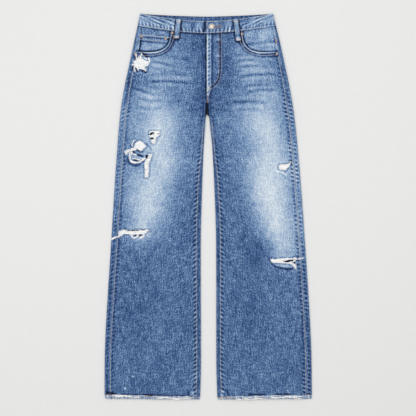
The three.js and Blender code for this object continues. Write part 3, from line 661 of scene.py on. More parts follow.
def denim():
    """Indigo-dyed right-hand cotton twill, woven, then stone-washed: a matt, grainy blue, worn off the
    raised yarns, so its pale places stay speckled. Its dark seams, creases and hollows are partly unworn
    indigo and partly painted shade, both read from one value per point."""
    def build(tree, shader):
        colours = bpy.context.scene.jeans_colours
        # worn reads the per-point value of wear and painted shade.
        where, worn = cloth_inputs(tree)
        # The yarns lie 0.5 mm apart: too fine to show, so the grain is drawn 2.6 mm wide and 4.7 mm
        # long, and the slubs, thick places in the warp, 2.4 mm wide and 30 mm long.
        grain = speckle(tree, where, 0.0042, (1.6, 0.9, 1), 1.0)
        slub = speckle(tree, where, 0.0036, (1.5, 0.12, 1), 1.0)
        fleck = speckle(tree, where, 0.003, (1.3, 1, 1), 0.0)
        mottle = speckle(tree, where, 0.0105, (0.6, 1, 1), 1.0)
        noise = blend_sum(tree, 0.0, (grain, 1.6), (slub, 1.15), (fleck, 0.9), (mottle, 0.6))
        calm = node(tree, "ShaderNodeMapRange", {
            "Value": worn, "From Min": 0.1, "From Max": 1.0, "To Min": 1.0, "To Max": 0.62})
        total = node(tree, "ShaderNodeMath", {0: noise, 1: calm.outputs["Result"], 2: worn},
                     operation="MULTIPLY_ADD").outputs[0]
        low, high = WEAR_SHADE_RANGE
        place_on = node(tree, "ShaderNodeMapRange", {
            "Value": total, "From Min": low, "From Max": high}).outputs["Result"]
        at = lambda w: (w - low) / (high - low)
        # Below 0 the ramp mostly colours painted shade; its darkest stop, 0A1122, is the painted shadow
        # deep in the seams.
        colour = ramp(tree, place_on, [
            (at(-1.2), "0A1122"), (at(-0.65), colours.shadow), (at(-0.3), colours.deep),
            (at(0.0), colours.plain), (at(0.35), colours.worn), (at(0.65), colours.faded),
            (at(1.0), colours.palest), (at(1.25), "E9F0F4")])
        # The real twill lines lie 0.9 mm apart: too fine to show, so they are drawn at 1.5 mm.
        turned = node(tree, "ShaderNodeMapping", {
            "Vector": where, "Rotation": (0, 0, math.radians(28))})
        twill = node(tree, "ShaderNodeTexWave", {
            "Vector": turned.outputs["Vector"], "Scale": 0.314 / 0.0015, "Distortion": 0.6,
            "Detail Scale": 4.0}, bands_direction="X").outputs["Fac"]
        relief = blend_sum(tree, grain, (twill, 0.35), (slub, 0.5))
        matt(tree, shader, colour, relief, 0.55, 0.0009, 0.92, 0.25)
        shader.inputs["Sheen Weight"].default_value = 0.1
        shader.inputs["Sheen Roughness"].default_value = 0.5
    return material("washed_indigo_twill", build)


def shaded_inside():
    """The inside of the twill deep in a trouser leg: no light reaches it, so its colour is painted almost
    black, as shade.
    """
    def build(tree, shader):
        where = node(tree, "ShaderNodeUVMap", uv_map="cloth").outputs["UV"]
        grain = speckle(tree, where, 0.004)
        colour = ramp(tree, grain, [(0.35, "10182A"), (0.7, "26375A")])
        tree.links.new(colour, shader.inputs["Base Color"])
        shader.inputs["Roughness"].default_value = 0.95
        shader.inputs["Specular IOR Level"].default_value = 0.1
    return material("unlit_twill_inside", build)


def fibre(name, stops, grain_weight):
    """A spun thread: its colour follows the tone of each thread, with fine uneven grain."""
    def build(tree, shader):
        where, tone = thread_inputs(tree)
        grain = speckle(tree, where, 0.0018)
        colour = ramp(tree, blend_sum(tree, tone, (grain, grain_weight)), stops)
        matt(tree, shader, colour, grain, 0.4, 0.0003, 0.88, 0.3)
    return material(name, build)


def topstitch():
    """Cotton-wrapped polyester thread, washed pale: brown in sheltered places, tan and cream where
    it is rubbed."""
    colours = bpy.context.scene.jeans_colours
    return fibre("cotton_wrapped_thread", [
        (0.0, "6E4F3C"), (0.25, "96715A"), (0.5, colours.thread), (1.0, "E9DFD4")], 0.25)


def bare_yarn():
    """Undyed ecru cotton weft, bared where the blue warp has worn through: soft, matt and off-white,
    with a few threads still stained blue."""
    return fibre("bare_ecru_yarn", [
        (0.0, "4F74A6"), (0.3, "9FB7D4"), (0.6, "E6E9EC"), (1.0, "FDFCFA")], 0.12)


def pocketing():
    """Bleached cotton drill for pocket bags, plain-woven: a flat, matt white, with grey painted as shade in
    its folds.
    """
    def build(tree, shader):
        where, worn = cloth_inputs(tree)
        grain = speckle(tree, where, 0.006)
        total = blend_sum(tree, worn, (grain, 0.5))
        colour = ramp(tree, total, [
            (0.0, "9FA9B8"), (0.5, "DFE2E6"), (1.0, "FAFAF8")])
        matt(tree, shader, colour, grain, 0.5, 0.0006, 0.9)
    return material("bleached_cotton_drill_painted_shade", build)


def worn_metal(name, bright, dull):
    """A stamped and plated shell, rubbed bright on its raised parts and dull in its recesses."""
    def build(tree, shader):
        where, tone = thread_inputs(tree)
        grime = speckle(tree, where, 0.0022)
        colour = ramp(tree, blend_sum(tree, tone, (grime, 0.5)), [(0.0, dull), (1.0, bright)])
        matt(tree, shader, colour, grime, 0.3, 0.0002, 0.5)
        shader.inputs["Metallic"].default_value = 1.0
    return material(name, build)


def button_metal():
    """Nickel-plated zinc gone creamy with washing."""
    return worn_metal("washed_nickel_plate", "EDE4DA", "7F7468")


def rivet_metal():
    """Solid copper rivets, burnished on the crown and brown at the rim."""
    return worn_metal("burnished_copper", "DDC3AC", "7B5640")


# ---- Front panels
CELL = 2.9  # spacing of the cloth's grid, in millimetres
SPREAD_START = 900.0  # above this height the front panel's columns lean towards the pocket opening
SCOOP_TOP = 102.0
SCOOP_STRAIGHT = CORNER_HEIGHT - 1.6 * BAND_HEIGHT


def panel_edges(side, y):
    """The front panel's inner and outer seam at each height."""
    seam = CENTRE + side * GAP / 2
    on_leg = side * (INNER[side](np.minimum(y, FORK)) + inseam_inset(y) + GAP / 2)
    inner = mix(on_leg, seam, smooth(y, FORK, CROTCH) ** 2)
    return inner, side * (OUTER[side](y) - outseam_inset(y) - GAP / 2)


def scoop(side):
    """The front pocket's opening: straight down from the waistband, a cubic curve that turns
    outwards, and a nearly level stretch to the side seam."""
    t = np.linspace(0, 1, 25)[:, None]
    knots = np.array([(SCOOP_TOP, SCOOP_STRAIGHT), (103, 1008), (122, 991), (165, 991)], float)
    bend = ((1 - t) ** 3 * knots[0] + 3 * t * (1 - t) ** 2 * knots[1]
            + 3 * t**2 * (1 - t) * knots[2] + t**3 * knots[3])
    end_y = 993.0
    end = (abs(panel_edges(side, end_y)[1]), end_y)
    start = (SCOOP_TOP, front_band_top(SCOOP_TOP) - BAND_HEIGHT - GAP)
    path = np.vstack([start, bend, end])
    return path * (side, 1)


def resample(path, shares):
    """Points at those shares of a path's length."""
    path = np.array(path, float)
    reach = np.concatenate([[0], np.cumsum(np.hypot(*np.diff(path, axis=0).T))])
    wanted = np.asarray(shares) * reach[-1]
    return np.stack([np.interp(wanted, reach, path[:, 0]), np.interp(wanted, reach, path[:, 1])], -1)


def front_panel_plan(side):
    """The front panel seen from above: level rows from the hem, then rows that fan out to follow the
    waistband and the scooped pocket opening, so that no cell is cut."""
    columns = 93
    share = np.linspace(0, 1, columns)
    levels = np.arange(0, SPREAD_START + 1, CELL)[:, None]
    inner, outer = panel_edges(side, levels)
    x = mix(inner, outer, share[None])
    y = levels + cloth_hem(side, x) * (1 - smooth(levels, 0, HEM_REACH))
    inner, outer = panel_edges(side, y)
    x = mix(inner, outer, share[None])
    opening = scoop(side)
    band_x = np.linspace(x[-1, 0], side * SCOOP_TOP, 30)
    band = np.stack([band_x, front_band_top(band_x) - BAND_HEIGHT - GAP], -1)
    corner = int(round(0.44 * (columns - 1)))
    on_band = resample(band, np.linspace(0, 1, corner + 1))
    on_scoop = resample(opening, np.linspace(0, 1, columns - corner))
    top = np.vstack([on_band, on_scoop[1:]])
    t = np.linspace(0, 1, 54)[1:, None, None]
    start = np.stack([x[-1], y[-1]], -1)
    fan = mix(start, top, t)
    _, true_edge = panel_edges(side, fan[:, -1, 1])
    fan[..., 0] += (true_edge - fan[:, -1, 0])[:, None] * share[None] ** 6
    return np.concatenate([np.stack([x, y], -1), fan])


def closed(outline):
    """The outline with its first point again at its end."""
    return outline + outline[:1]


def inside(outline, x, y):
    """True where a point lies inside a closed outline: a level ray crosses it an odd number of
    times."""
    found = np.zeros(np.shape(x), bool)
    for (x0, y0), (x1, y1) in zip(outline, closed(outline)[1:]):
        if y0 == y1:
            continue
        crosses = (y0 > y) != (y1 > y)
        found ^= crosses & (x < (x1 - x0) * (y - y0) / (y1 - y0) + x0)
    return found


def snap(plan, outline, reach=1.25):
    """Moves the points that lie within reach of an outline onto it."""
    away, _, near = trace(closed(outline), plan[..., 0], plan[..., 1])
    close = np.abs(away) < reach
    return np.where(close[..., None], near, plan)


def front_panel(side):
    """Its plan raised to the upper surface, with a ridge along the pocket opening and round each
    tear's mat, without the cells whose middles lie in a tear."""
    plan = front_panel_plan(side)
    tears = [tear for tear in TEARS if tear["side"] == side]
    for tear in tears:
        plan = snap(plan, tear["outline"])
    x, y = plan[..., 0], plan[..., 1]
    z = top_height(x, y)
    away, share, _ = trace(scoop(side), x, y)
    z = z + 0.7 * bell(away, 7) * smooth(share, 0.05, 0.3)
    wash = wash_at(x, y) + pocket_edge_wear_and_shade(side, x, y)
    middle = (plan[:-1, :-1] + plan[1:, :-1] + plan[1:, 1:] + plan[:-1, 1:]) / 4
    keep = np.ones(middle.shape[:2], bool)
    for tear in tears:
        keep &= ~inside(tear["outline"], middle[..., 0], middle[..., 1])
        z = z + 0.35 * bell(trace(closed(tear["mat"]), x, y)[0], 5)
    wash += tear_shadow(side, x, y)
    return cloth(f"front_panel_{SIDE[side]}", np.dstack([x, y, z]), wash, [f"front_leg_{SIDE[side]}"],
                 keep=keep, flip=side == RIGHT)


def pocket_edge_wear_and_shade(side, x, y):
    """The opening's turned edge is rubbed white, most of all where the hand goes in, with broken lines of
    painted shade beside its two rows of stitching.
    """
    away, share, _ = trace(scoop(side), x, y)
    rub = bell(away, 2.8) * (0.45 + 0.55 * bell(share - 0.62, 0.22))
    broken = 0.8 + 0.5 * soft_noise(x, y, 7, 43)
    rows = 0.95 * bell(np.abs(away) - 5.4, 2.4) + 0.8 * bell(np.abs(away) - 12.2, 2.4)
    return rub - rows * broken * smooth(share, 0.0, 0.08)


# ---- Back panels and yokes
def half_turn(side, y, share, extra, across):
    """Points of the back panel: on its flap on top (extra from 1 to 0), round the inner fold (share
    from 1 to 0 of a half turn) and under the leg (across from 0 to 1). Between the fork and the
    crotch the fold unrolls, until the panel lies flat as far as the centre back seam."""
    radius = FOLD_RADIUS
    opened = smooth(y, FORK, CROTCH)
    flap = inseam_inset(y) - radius - GAP / 2
    seam = CENTRE + side * 0.01
    angle = np.pi * share * (1 - opened)
    whole = np.pi * (1 - opened)
    bend = np.maximum(1 - opened, 1e-6) / radius
    widest = np.sin(np.minimum(whole, np.pi / 2)) / bend
    widest = np.maximum(widest, np.sin(whole) / bend + flap * np.cos(whole))
    fold_start = np.where(y > FORK, seam + side * widest, side * (INNER[side](y) + radius))
    flat = opened > 1 - 1e-5
    length = np.pi * radius * share
    reach = np.where(flat, length, np.sin(angle) / bend)
    rise = np.where(flat, 0.0, (1 - np.cos(angle)) / bend)
    back = reach + extra * flap * np.cos(angle)
    x = side * np.maximum(side * fold_start - back, side * seam)
    z = ground(y) + (1 - opened) * (rise + extra * flap * np.sin(angle))
    flat_end = side * (OUTER[side](y) - radius)
    x = np.where(across > 0, mix(fold_start, flat_end, across), x)
    z = np.where(across > 0, ground(y), z)
    return x, z, opened


def wrapped_surface(side, rows_at):
    """Points of a panel that wraps both folds of a leg, from its inner seam on top, round under the
    leg, to its outer seam on top. rows_at gives the height of each row where x is known."""
    flap = np.linspace(1, 0, 4)
    turn = np.linspace(1, 0, 8)[1:]
    under = np.linspace(0, 1, 36)[1:]
    share = np.concatenate([np.ones(4), turn, np.zeros(len(under))])
    extra = np.concatenate([flap, np.zeros(len(turn) + len(under))])
    across = np.concatenate([np.zeros(4 + len(turn)), under])
    y = rows_at(np.full(len(share), 120.0 * side))
    x, z, opened = half_turn(side, y, share, extra, across)
    y = rows_at(x)
    x, z, opened = half_turn(side, y, share, extra, across)
    z = z + extra * (1 - opened) * (top_height(x, y) - ground(y) - 2 * FOLD_RADIUS)
    inner_part = np.dstack([x, y, z])
    angle = np.linspace(0, np.pi, 8)[1:]
    first = rows_at(np.full(len(angle), 200.0 * side))
    edge = side * (OUTER[side](first) - FOLD_RADIUS)
    y = rows_at(edge)
    x = side * (OUTER[side](y) - FOLD_RADIUS + FOLD_RADIUS * np.sin(angle))
    z = ground(y) + FOLD_RADIUS * (1 - np.cos(angle))
    fold_part = np.dstack([x, y, z])
    top = np.linspace(0, 1, 6)[1:]
    y = rows_at(np.full(len(top), 200.0 * side))
    x = side * (OUTER[side](y) - mix(FOLD_RADIUS, outseam_inset(y) - GAP / 2, top))
    y = rows_at(x)
    top_part = np.dstack([x, y, top_height(x, y)])
    return np.concatenate([inner_part, fold_part, top_part], axis=1)


def back_wash(points):
    """The seat and the backs of the knees are worn pale, the creases behind the knees and the crotch's
    folds darkened with painted shade; on top the value follows the front's.
    """
    x, y, z = points[..., 0], points[..., 1], points[..., 2]
    seat = 0.62 * bell(np.abs(x) - 112, 62) * bell(y - 880, 95)
    thigh = 0.35 * bell(np.abs(x) - 140, 55) * bell(y - 660, 130)
    calf = 0.22 * bell(np.abs(x) - 150, 50) * bell(y - 250, 130)
    w = seat + thigh + calf + 0.07 * soft_noise(x, y * 0.5, 44, 21)
    # Behind the knees each crease's trough is painted dark as shade, with pale worn ridges beside it.
    for height, width in ((505, 80), (478, 95), (452, 90), (428, 75)):
        bow = height + 0.03 * (np.abs(x) - 150)
        ends = bell(np.abs(x) - 150, width)
        w = w - 0.2 * bell(y - bow, 4) * ends + 0.14 * bell(np.abs(y - bow) - 9, 6) * ends
    level = (z - ground(y)) / (2 * FOLD_RADIUS)
    w -= crotch_shade(x, y) * smooth(level, 0.02, 0.15)
    return mix(w, wash_at(x, y), smooth(level, 0.25, 0.8))


def back_panel(side):
    """Wrapped round both folds of its leg, from the hem up to the yoke seam."""
    levels = np.arange(0, SPREAD_START + 1, CELL)[:, None]
    upper = np.linspace(0, 1, 36)[1:, None]

    def rows_for(x):
        x = np.broadcast_to(x, (len(levels) + len(upper), np.shape(x)[-1]))
        hem = levels + cloth_hem(side, x[:len(levels)]) * (1 - smooth(levels, 0, HEM_REACH))
        seam = yoke_seam(x[len(levels):]) - GAP / 2
        return np.concatenate([hem, mix(SPREAD_START, seam, upper)])

    points = wrapped_surface(side, rows_for)
    piece = cloth(f"back_panel_{SIDE[side]}", points, back_wash(points), [f"back_leg_{SIDE[side]}"],
                  flip=side == LEFT)
    piece.data.materials.append(shaded_inside())
    piece.modifiers["wall"].material_offset = 1
    return piece


def yoke(side):
    """Wrapped round the side fold, between its lower seam and the waistband."""
    share = np.linspace(0, 1, 26)[:, None]

    def rows_for(x):
        x = np.broadcast_to(x, (len(share), np.shape(x)[-1]))
        top = np.minimum(front_band_top(WAIST_HALF), back_band_top(x)) - BAND_HEIGHT - GAP
        return mix(yoke_seam(x) + GAP / 2, top, share)

    points = wrapped_surface(side, rows_for)
    return cloth(f"seat_yoke_{SIDE[side]}", points, back_wash(points) + 0.05, [f"yoke_{SIDE[side]}"],
                 flip=side == LEFT)


# ---- Waistband
UNDERLAP = 40.0
OVERLAP_EDGE = -1.5
OVERLAP_RAMP = 26.0


def band_share(x, y):
    """How far up the band a point on its front lies, from 0 at the seam to 1 at the top edge."""
    return 1 - (front_band_top(np.clip(x, -WAIST_HALF, WAIST_HALF)) - y) / BAND_HEIGHT


def band_folds(x, y):
    """The band's creases: short ridges above its seam, where the thread draws it up, and long
    slanted folds in its upper half, each side leaning out from the centre front."""
    v = band_share(x, y)
    reach = np.abs(x)
    uneven = 2.6 * soft_noise(x, y * 0.2, 17, 31)
    strong = 0.75 + 0.6 * soft_noise(x, 0 * y, 23, 36)
    ticks = strong * np.sin(2 * np.pi * (reach + uneven - 6.0 * v) / 10.2)
    inward = 1 - smooth(reach, 90, 110)
    ticks = (0.8 + 0.5 * inward) * ticks * bell(v - 0.2, 0.16 + 0.08 * inward)
    slant = (1 - v) * BAND_HEIGHT + (reach - 98) * 0.27
    patchy = 0.5 + 0.9 * soft_noise(x, 2 * y, 26, 37)
    long_folds = patchy * np.sin(2 * np.pi * (slant + 3.0 * soft_noise(x, y, 34, 32)) / 10.6)
    long_folds = long_folds * bell(v - 0.6, 0.3) * smooth(reach, 70, 105)
    slow = soft_noise(x, y * 0.5, 17, 33)
    return ticks, long_folds, slow


def band_height(x, y):
    """Level, and higher where the left end laps over the right, with folds and rounded edges."""
    ticks, long_folds, slow = band_folds(x, y)
    v = band_share(x, y)
    lap = smooth(x, OVERLAP_EDGE - 0.1, OVERLAP_EDGE) * (1 - smooth(x, UNDERLAP, UNDERLAP + OVERLAP_RAMP))
    edge = 0.5 * (bell(v, 0.06) + bell(v - 1, 0.06))
    calm = smooth(WAIST_HALF - np.abs(x), 0, 12)
    relief = (0.35 * ticks + 0.5 * long_folds + 0.35 * slow) * calm
    return BAND_TOP + lap * (BAND + GAP) + relief - edge


def band_wash(x, y):
    """Pale on the band's ridges and edges, partly wear and partly painted light, dark in the folds' troughs
    with painted shade, and painted shadow beside the loops and the lap.
    """
    ticks, long_folds, slow = band_folds(x, y)
    v = band_share(x, y)
    # The band's fold ridges are painted pale and their troughs dark: partly wear, partly painted light and
    # shade.
    w = 0.22 + 0.7 * ticks + 0.8 * long_folds + 0.3 * slow + 0.16 * smooth(np.abs(x), 80, 120)
    w += 0.16 * smooth(x, 130, 165)
    w += 0.3 * bell(v - 1, 0.06) - 0.3 * bell(v - 0.88, 0.05) + 0.2 * bell(v, 0.05)
    w -= 0.28 * bell(v - 0.12, 0.045)
    # Painted shadow beside each front belt loop.
    for _, top, low, end in FRONT_LOOPS:
        middle = mix(low, top, (y - end) / (front_band_top(top) - end))
        w -= 1.5 * bell(np.abs(x - middle) - 7.8, 2.4)
    # Painted shadow beside the left end where it laps over the right.
    w -= 1.4 * bell(x - OVERLAP_EDGE + 3.2, 2.6) * smooth(v, 0.05, 0.2)
    w += 0.26 * bell(np.hypot(x - 15, y - 1068) - 15, 4) * smooth(y, 1062, 1070)
    return w


def waistband():
    """One strip, from its right end under the button, round the back, to its left end on top."""
    half = WAIST_HALF
    middle = (BAND_TOP + HIP_LIFT) / 2
    radius = (BAND_TOP - HIP_LIFT) / 2
    turn = np.linspace(0, np.pi, 9)
    back = np.linspace(-0.97, 0.97, 66)
    near = np.linspace(UNDERLAP, -(half - radius - 2), 95) / half
    far = np.concatenate([np.linspace(half - radius - 2, UNDERLAP, 62)[:-1],
                          np.linspace(UNDERLAP, OVERLAP_EDGE, 18)]) / half
    share = np.concatenate([near, np.full(9, -1.0), back, np.full(9, 1.0), far])
    bulge = np.concatenate([0 * near, np.sin(turn) - 1, 0 * back, np.sin(turn[::-1]) - 1, 0 * far])
    height = np.concatenate([np.full(len(near), BAND_TOP), middle + radius * np.cos(turn),
                             np.full(len(back), HIP_LIFT), middle + radius * np.cos(turn[::-1]),
                             np.full(len(far), BAND_TOP)])
    face = np.clip((height - HIP_LIFT) / (BAND_TOP - HIP_LIFT), 0, 1)
    rise = np.linspace(-1, 0, 17)[:, None]
    top = mix(back_band_top(share * half), front_band_top(share * half), face)
    y = top + rise * BAND_HEIGHT
    side = np.where(share < 0, RIGHT, LEFT)
    outside = np.where(share < 0, OUTER[RIGHT](y), OUTER[LEFT](y))
    x = side * (np.abs(share) * outside + bulge * radius)
    on_front = np.zeros(len(share), bool)
    on_front[:len(near)] = True
    on_front[-len(far):] = True
    lapped = np.arange(len(share)) > len(share) / 2
    z_front = band_height(np.where(lapped, np.maximum(x, OVERLAP_EDGE), np.minimum(x, OVERLAP_EDGE - 1)), y)
    z = np.where(on_front, z_front, height + 0 * y)
    points = np.dstack([x, y, z])
    # The inside of the band's back part shows above the front's dip: darker, partly unworn cloth and partly
    # painted shade from the front of the band, and darker still along its top edge. worn carries the band's
    # wear and painted shade.
    inner_ticks = np.sin(2 * np.pi * (x + 2 * soft_noise(x, 0 * y, 20, 35)) / 13)
    hidden = -0.12 + 0.22 * inner_ticks + 0.1 * soft_noise(x, y, 20, 34) - 0.5 * bell(rise, 0.04)
    worn = np.where(height > middle, band_wash(x, y), hidden) + 0 * y
    return cloth("waistband_strip", points, worn, ["waistband"], slot="denim_trims", wall=BAND,
                 flip=True)


# ---- Pieces inside the front pockets and behind the fly
def between(left, right, low, high, columns, rows):
    """A plan grid between a left and a right edge, given as functions of height, and between a low
    and a high edge, given as functions of x."""
    s, t = np.linspace(0, 1, columns)[None], np.linspace(0, 1, rows)[:, None]
    middle = mix(low(0.0), high(0.0), 0.5)
    x = mix(left(middle), right(middle), s) + 0 * t
    for _ in range(3):
        y = mix(low(x), high(x), t)
        x = mix(left(y), right(y), s)
    return x, y


def band_foot(x):
    """Just below the waistband's lower edge."""
    return front_band_top(x) - BAND_HEIGHT - GAP


def facing(side):
    """The cloth seen inside the pocket opening. It dips under the front panel and rises to the side
    seam, where it is sewn to the yoke."""
    outer = lambda y: side * (OUTER[side](y) - outseam_inset(y) - GAP / 2)
    x, y = between(lambda y: 86.0 * side + 0 * y, outer, lambda x: 984.0 + 0 * x, band_foot, 44, 30)
    depth = 1.7 if side == LEFT else 3.1
    to_seam = bell(outer(y) - x, 12)
    z = top_height(x, y) - mix(depth, 0.1, to_seam)
    wash = (0.42 if side == LEFT else 0.28) + 0.22 * soft_noise(x * 0.5, y * 1.4, 12, 41)
    wash += (0.18 if side == LEFT else 0.0) * smooth(np.abs(x), 140, 180)
    # A dark slanted line painted as the shade of a crease, a pale line of wear at the side seam with
    # painted shade beside it, and painted shade under the front panel's edge and under the waistband.
    wash -= 0.35 * bell(y - 1018 - 0.1 * (np.abs(x) - 150), 4)
    wash += 0.35 * bell(outer(y) - x, 2.5) - 0.5 * bell(np.abs(outer(y) - x) - 5, 2.2)
    wash = wash - 1.3 * shade_under(side, x, y) - 0.8 * bell(band_foot(x) - y, 3.0)
    return cloth(f"pocket_facing_inner_{SIDE[side]}", np.dstack([x, y, z]), wash,
                 [f"pocket_facing_{SIDE[side]}"], flip=side == RIGHT)


def shade_under(side, x, y):
    """Dark cloth just inside the pocket opening, where the front panel covers it: painted shade."""
    away, _, _ = trace(scoop(side), x, y)
    return bell(np.abs(away) - 1.5, 3.4)


def coin_pocket():
    """The coin pocket: a grid on the facing, below a slanted top edge."""
    outer = lambda y: -(OUTER[RIGHT](y) - outseam_inset(y) - 4.0)
    top = line(COIN_TOP)
    x, y = between(outer, lambda y: -99.0 + 0 * y, lambda x: 985.0 + 0 * x, top, 40, 22)
    z = top_height(x, y) - 1.6 + 1.3 * bell(x - outer(y), 12)
    wash = 0.4 + 0.14 * soft_noise(x, y, 13, 42) + 0.45 * bell(top(x) - y, 2.2)
    # Dark lines of painted shade beside the top's stitching, under the front panel's edge and beside the
    # patch's outer edge.
    wash = wash - 0.65 * bell(top(x) - y - 6.5, 2.4) - 0.65 * bell(top(x) - y - 19, 2.6)
    wash -= 1.3 * shade_under(RIGHT, x, y)
    wash += 0.55 * bell(x - outer(y), 2.6) - 1.5 * bell(x - outer(y) - 5.5, 2.4)
    return cloth("coin_pocket_patch", np.dstack([x, y, z]), wash, ["coin_pocket"],
                 slot="denim_trims")


def pocket_bag():
    """The white bag behind the hole at the hip: a rumpled grid just under the panel."""
    left = line([(862, -172), (874, -196), (930, -213), (984, -208)])
    right = line([(862, -150), (870, -122), (905, -96), (984, -92)])
    x, y = between(left, right, lambda x: 862.5 + 0 * x, lambda x: 983.7 + 0 * x, 40, 42)
    rumple = 0.35 * soft_noise(x, y, 9, 51) + 0.3 * soft_noise(x * 0.5, y, 6, 52)
    z = top_height(x, y) - DENIM - 0.9 + rumple * 0.8
    # Greyer where the rumpled bag sinks and whiter where it rises: painted shade and light.
    wash = 0.92 + 0.35 * rumple
    return cloth("pocket_bag_sheet", np.dstack([x, y, z]), wash, ["pocket_bag_right"],
                 slot="pocketing", look=pocketing(), wall=BAG)


def underlap():
    """The strip behind the fly: a level grid with one lower corner rounded off."""
    right = line([(893, 12), (897, 32), (935, 40), (1066, 40)])
    x, y = between(lambda y: -8.0 + 0 * y, right, lambda x: 893.0 + 0 * x, band_foot, 18, 56)
    z = HIP_TOP - DENIM - GAP + 0.2 * soft_noise(x, y, 20, 61)
    return cloth("fly_shield", np.dstack([x, y, z]), -0.25 + 0 * x, ["fly_underlap"])


def back_pocket(side):
    """A five-cornered patch pocket under the seat, with its turned top edge towards the yoke."""
    foot, head = line(POCKET_FOOT), line([(0, 973), (1, 979)])
    s, t = np.linspace(0, 1, 37)[None], np.linspace(0, 1, 38)[:, None]
    y = mix(foot(s), head(s), t)
    x = side * (mix(39, 34, t) * (1 - s) + mix(177, 182, t) * s)
    z = HIP_LIFT - PATCH + 0 * y
    wash = 0.42 + 0.1 * soft_noise(x, y, 24, 71) + 0.25 * bell(head(s) - y, 3)
    rim = np.minimum(np.minimum(s * 145, (1 - s) * 145), y - foot(s))
    wash += 0.25 * bell(rim, 2.5) + 0.12 * np.sin(2 * np.pi * y / 12) * bell(rim - 9, 4)
    return cloth(f"seat_pocket_{SIDE[side]}", np.dstack([x, y, z]), wash, [f"back_pocket_{SIDE[side]}"],
                 slot="denim_trims", wall=1.4, flip=side == LEFT)


# ---- Belt loops
LOOP_WIDTH = 13.0
FRONT_LOOPS = [
    ("belt_loop_front_right", -79.5, -85.0, 1031.0),
    ("belt_loop_front_left", 83.0, 91.0, 1024.0),
]
BACK_LOOPS = [
    ("belt_loop_back_right", -98.0), ("belt_loop_back_centre", 0.0), ("belt_loop_back_left", 98.0),
]


def loop_face(x, y, t, head):
    """How high a front loop's face is: t runs up the loop, whose ends lie on the panel and on the
    waistband and whose middle arches clear."""
    arch = np.sin(np.pi * smooth(t, 0.1, 0.97)) ** 0.8
    on_band = smooth(y, head - BAND_HEIGHT - 4, head - BAND_HEIGHT + 1)
    return mix(top_height(x, y), BAND_TOP + 0.3, on_band) + GAP + PATCH + arch


def front_loop(name, top, low, end):
    """A strip over the waistband: its ends lie on the cloth and its middle arches clear."""
    head = front_band_top(top)
    t = np.linspace(0, 1, 34)[:, None]
    s = np.linspace(-0.5, 0.5, 9)[None]
    y = mix(end, head, t) + 0 * s
    middle = mix(low, top, t)
    x = middle + s * LOOP_WIDTH
    rolled = -0.5 * (2 * np.abs(s)) ** 4
    z = loop_face(middle, y, t, head) + rolled + 0.2 * soft_noise(x, y, 7, 81)
    wash = 0.5 + 0.16 * soft_noise(x, y, 6, 82) - 0.35 * bell(np.abs(s) - 0.36, 0.06)
    wash += 0.22 * bell(np.abs(s) - 0.5, 0.05) + 0.22 * bell(t - 0.97, 0.05)
    wash += 0.25 * bell(t - 0.1, 0.08) - 0.35 * bell(t - 0.22, 0.05)
    return cloth(name + "_strip", np.dstack([x, y, z]), wash, [name], slot="denim_trims",
                 wall=PATCH - 0.1)


def back_loop(name, at):
    """A level strip under the waistband, whose edges curl by the cube of the distance."""
    t = np.linspace(0, 1, 30)[:, None]
    s = np.linspace(-0.5, 0.5, 7)[None]
    y = mix(1040.0, back_band_top(at), t) + 0 * s
    x = at + s * LOOP_WIDTH + 0 * t
    z = HIP_LIFT - PATCH + 0.3 * (2 * np.abs(s)) ** 3 + 0 * y
    wash = 0.45 + 0.12 * soft_noise(x, y, 6, 83) - 0.3 * bell(np.abs(s) - 0.36, 0.06)
    return cloth(name + "_strip", np.dstack([x, y, z]), wash, [name], slot="denim_trims",
                 wall=PATCH - 0.2, flip=True)


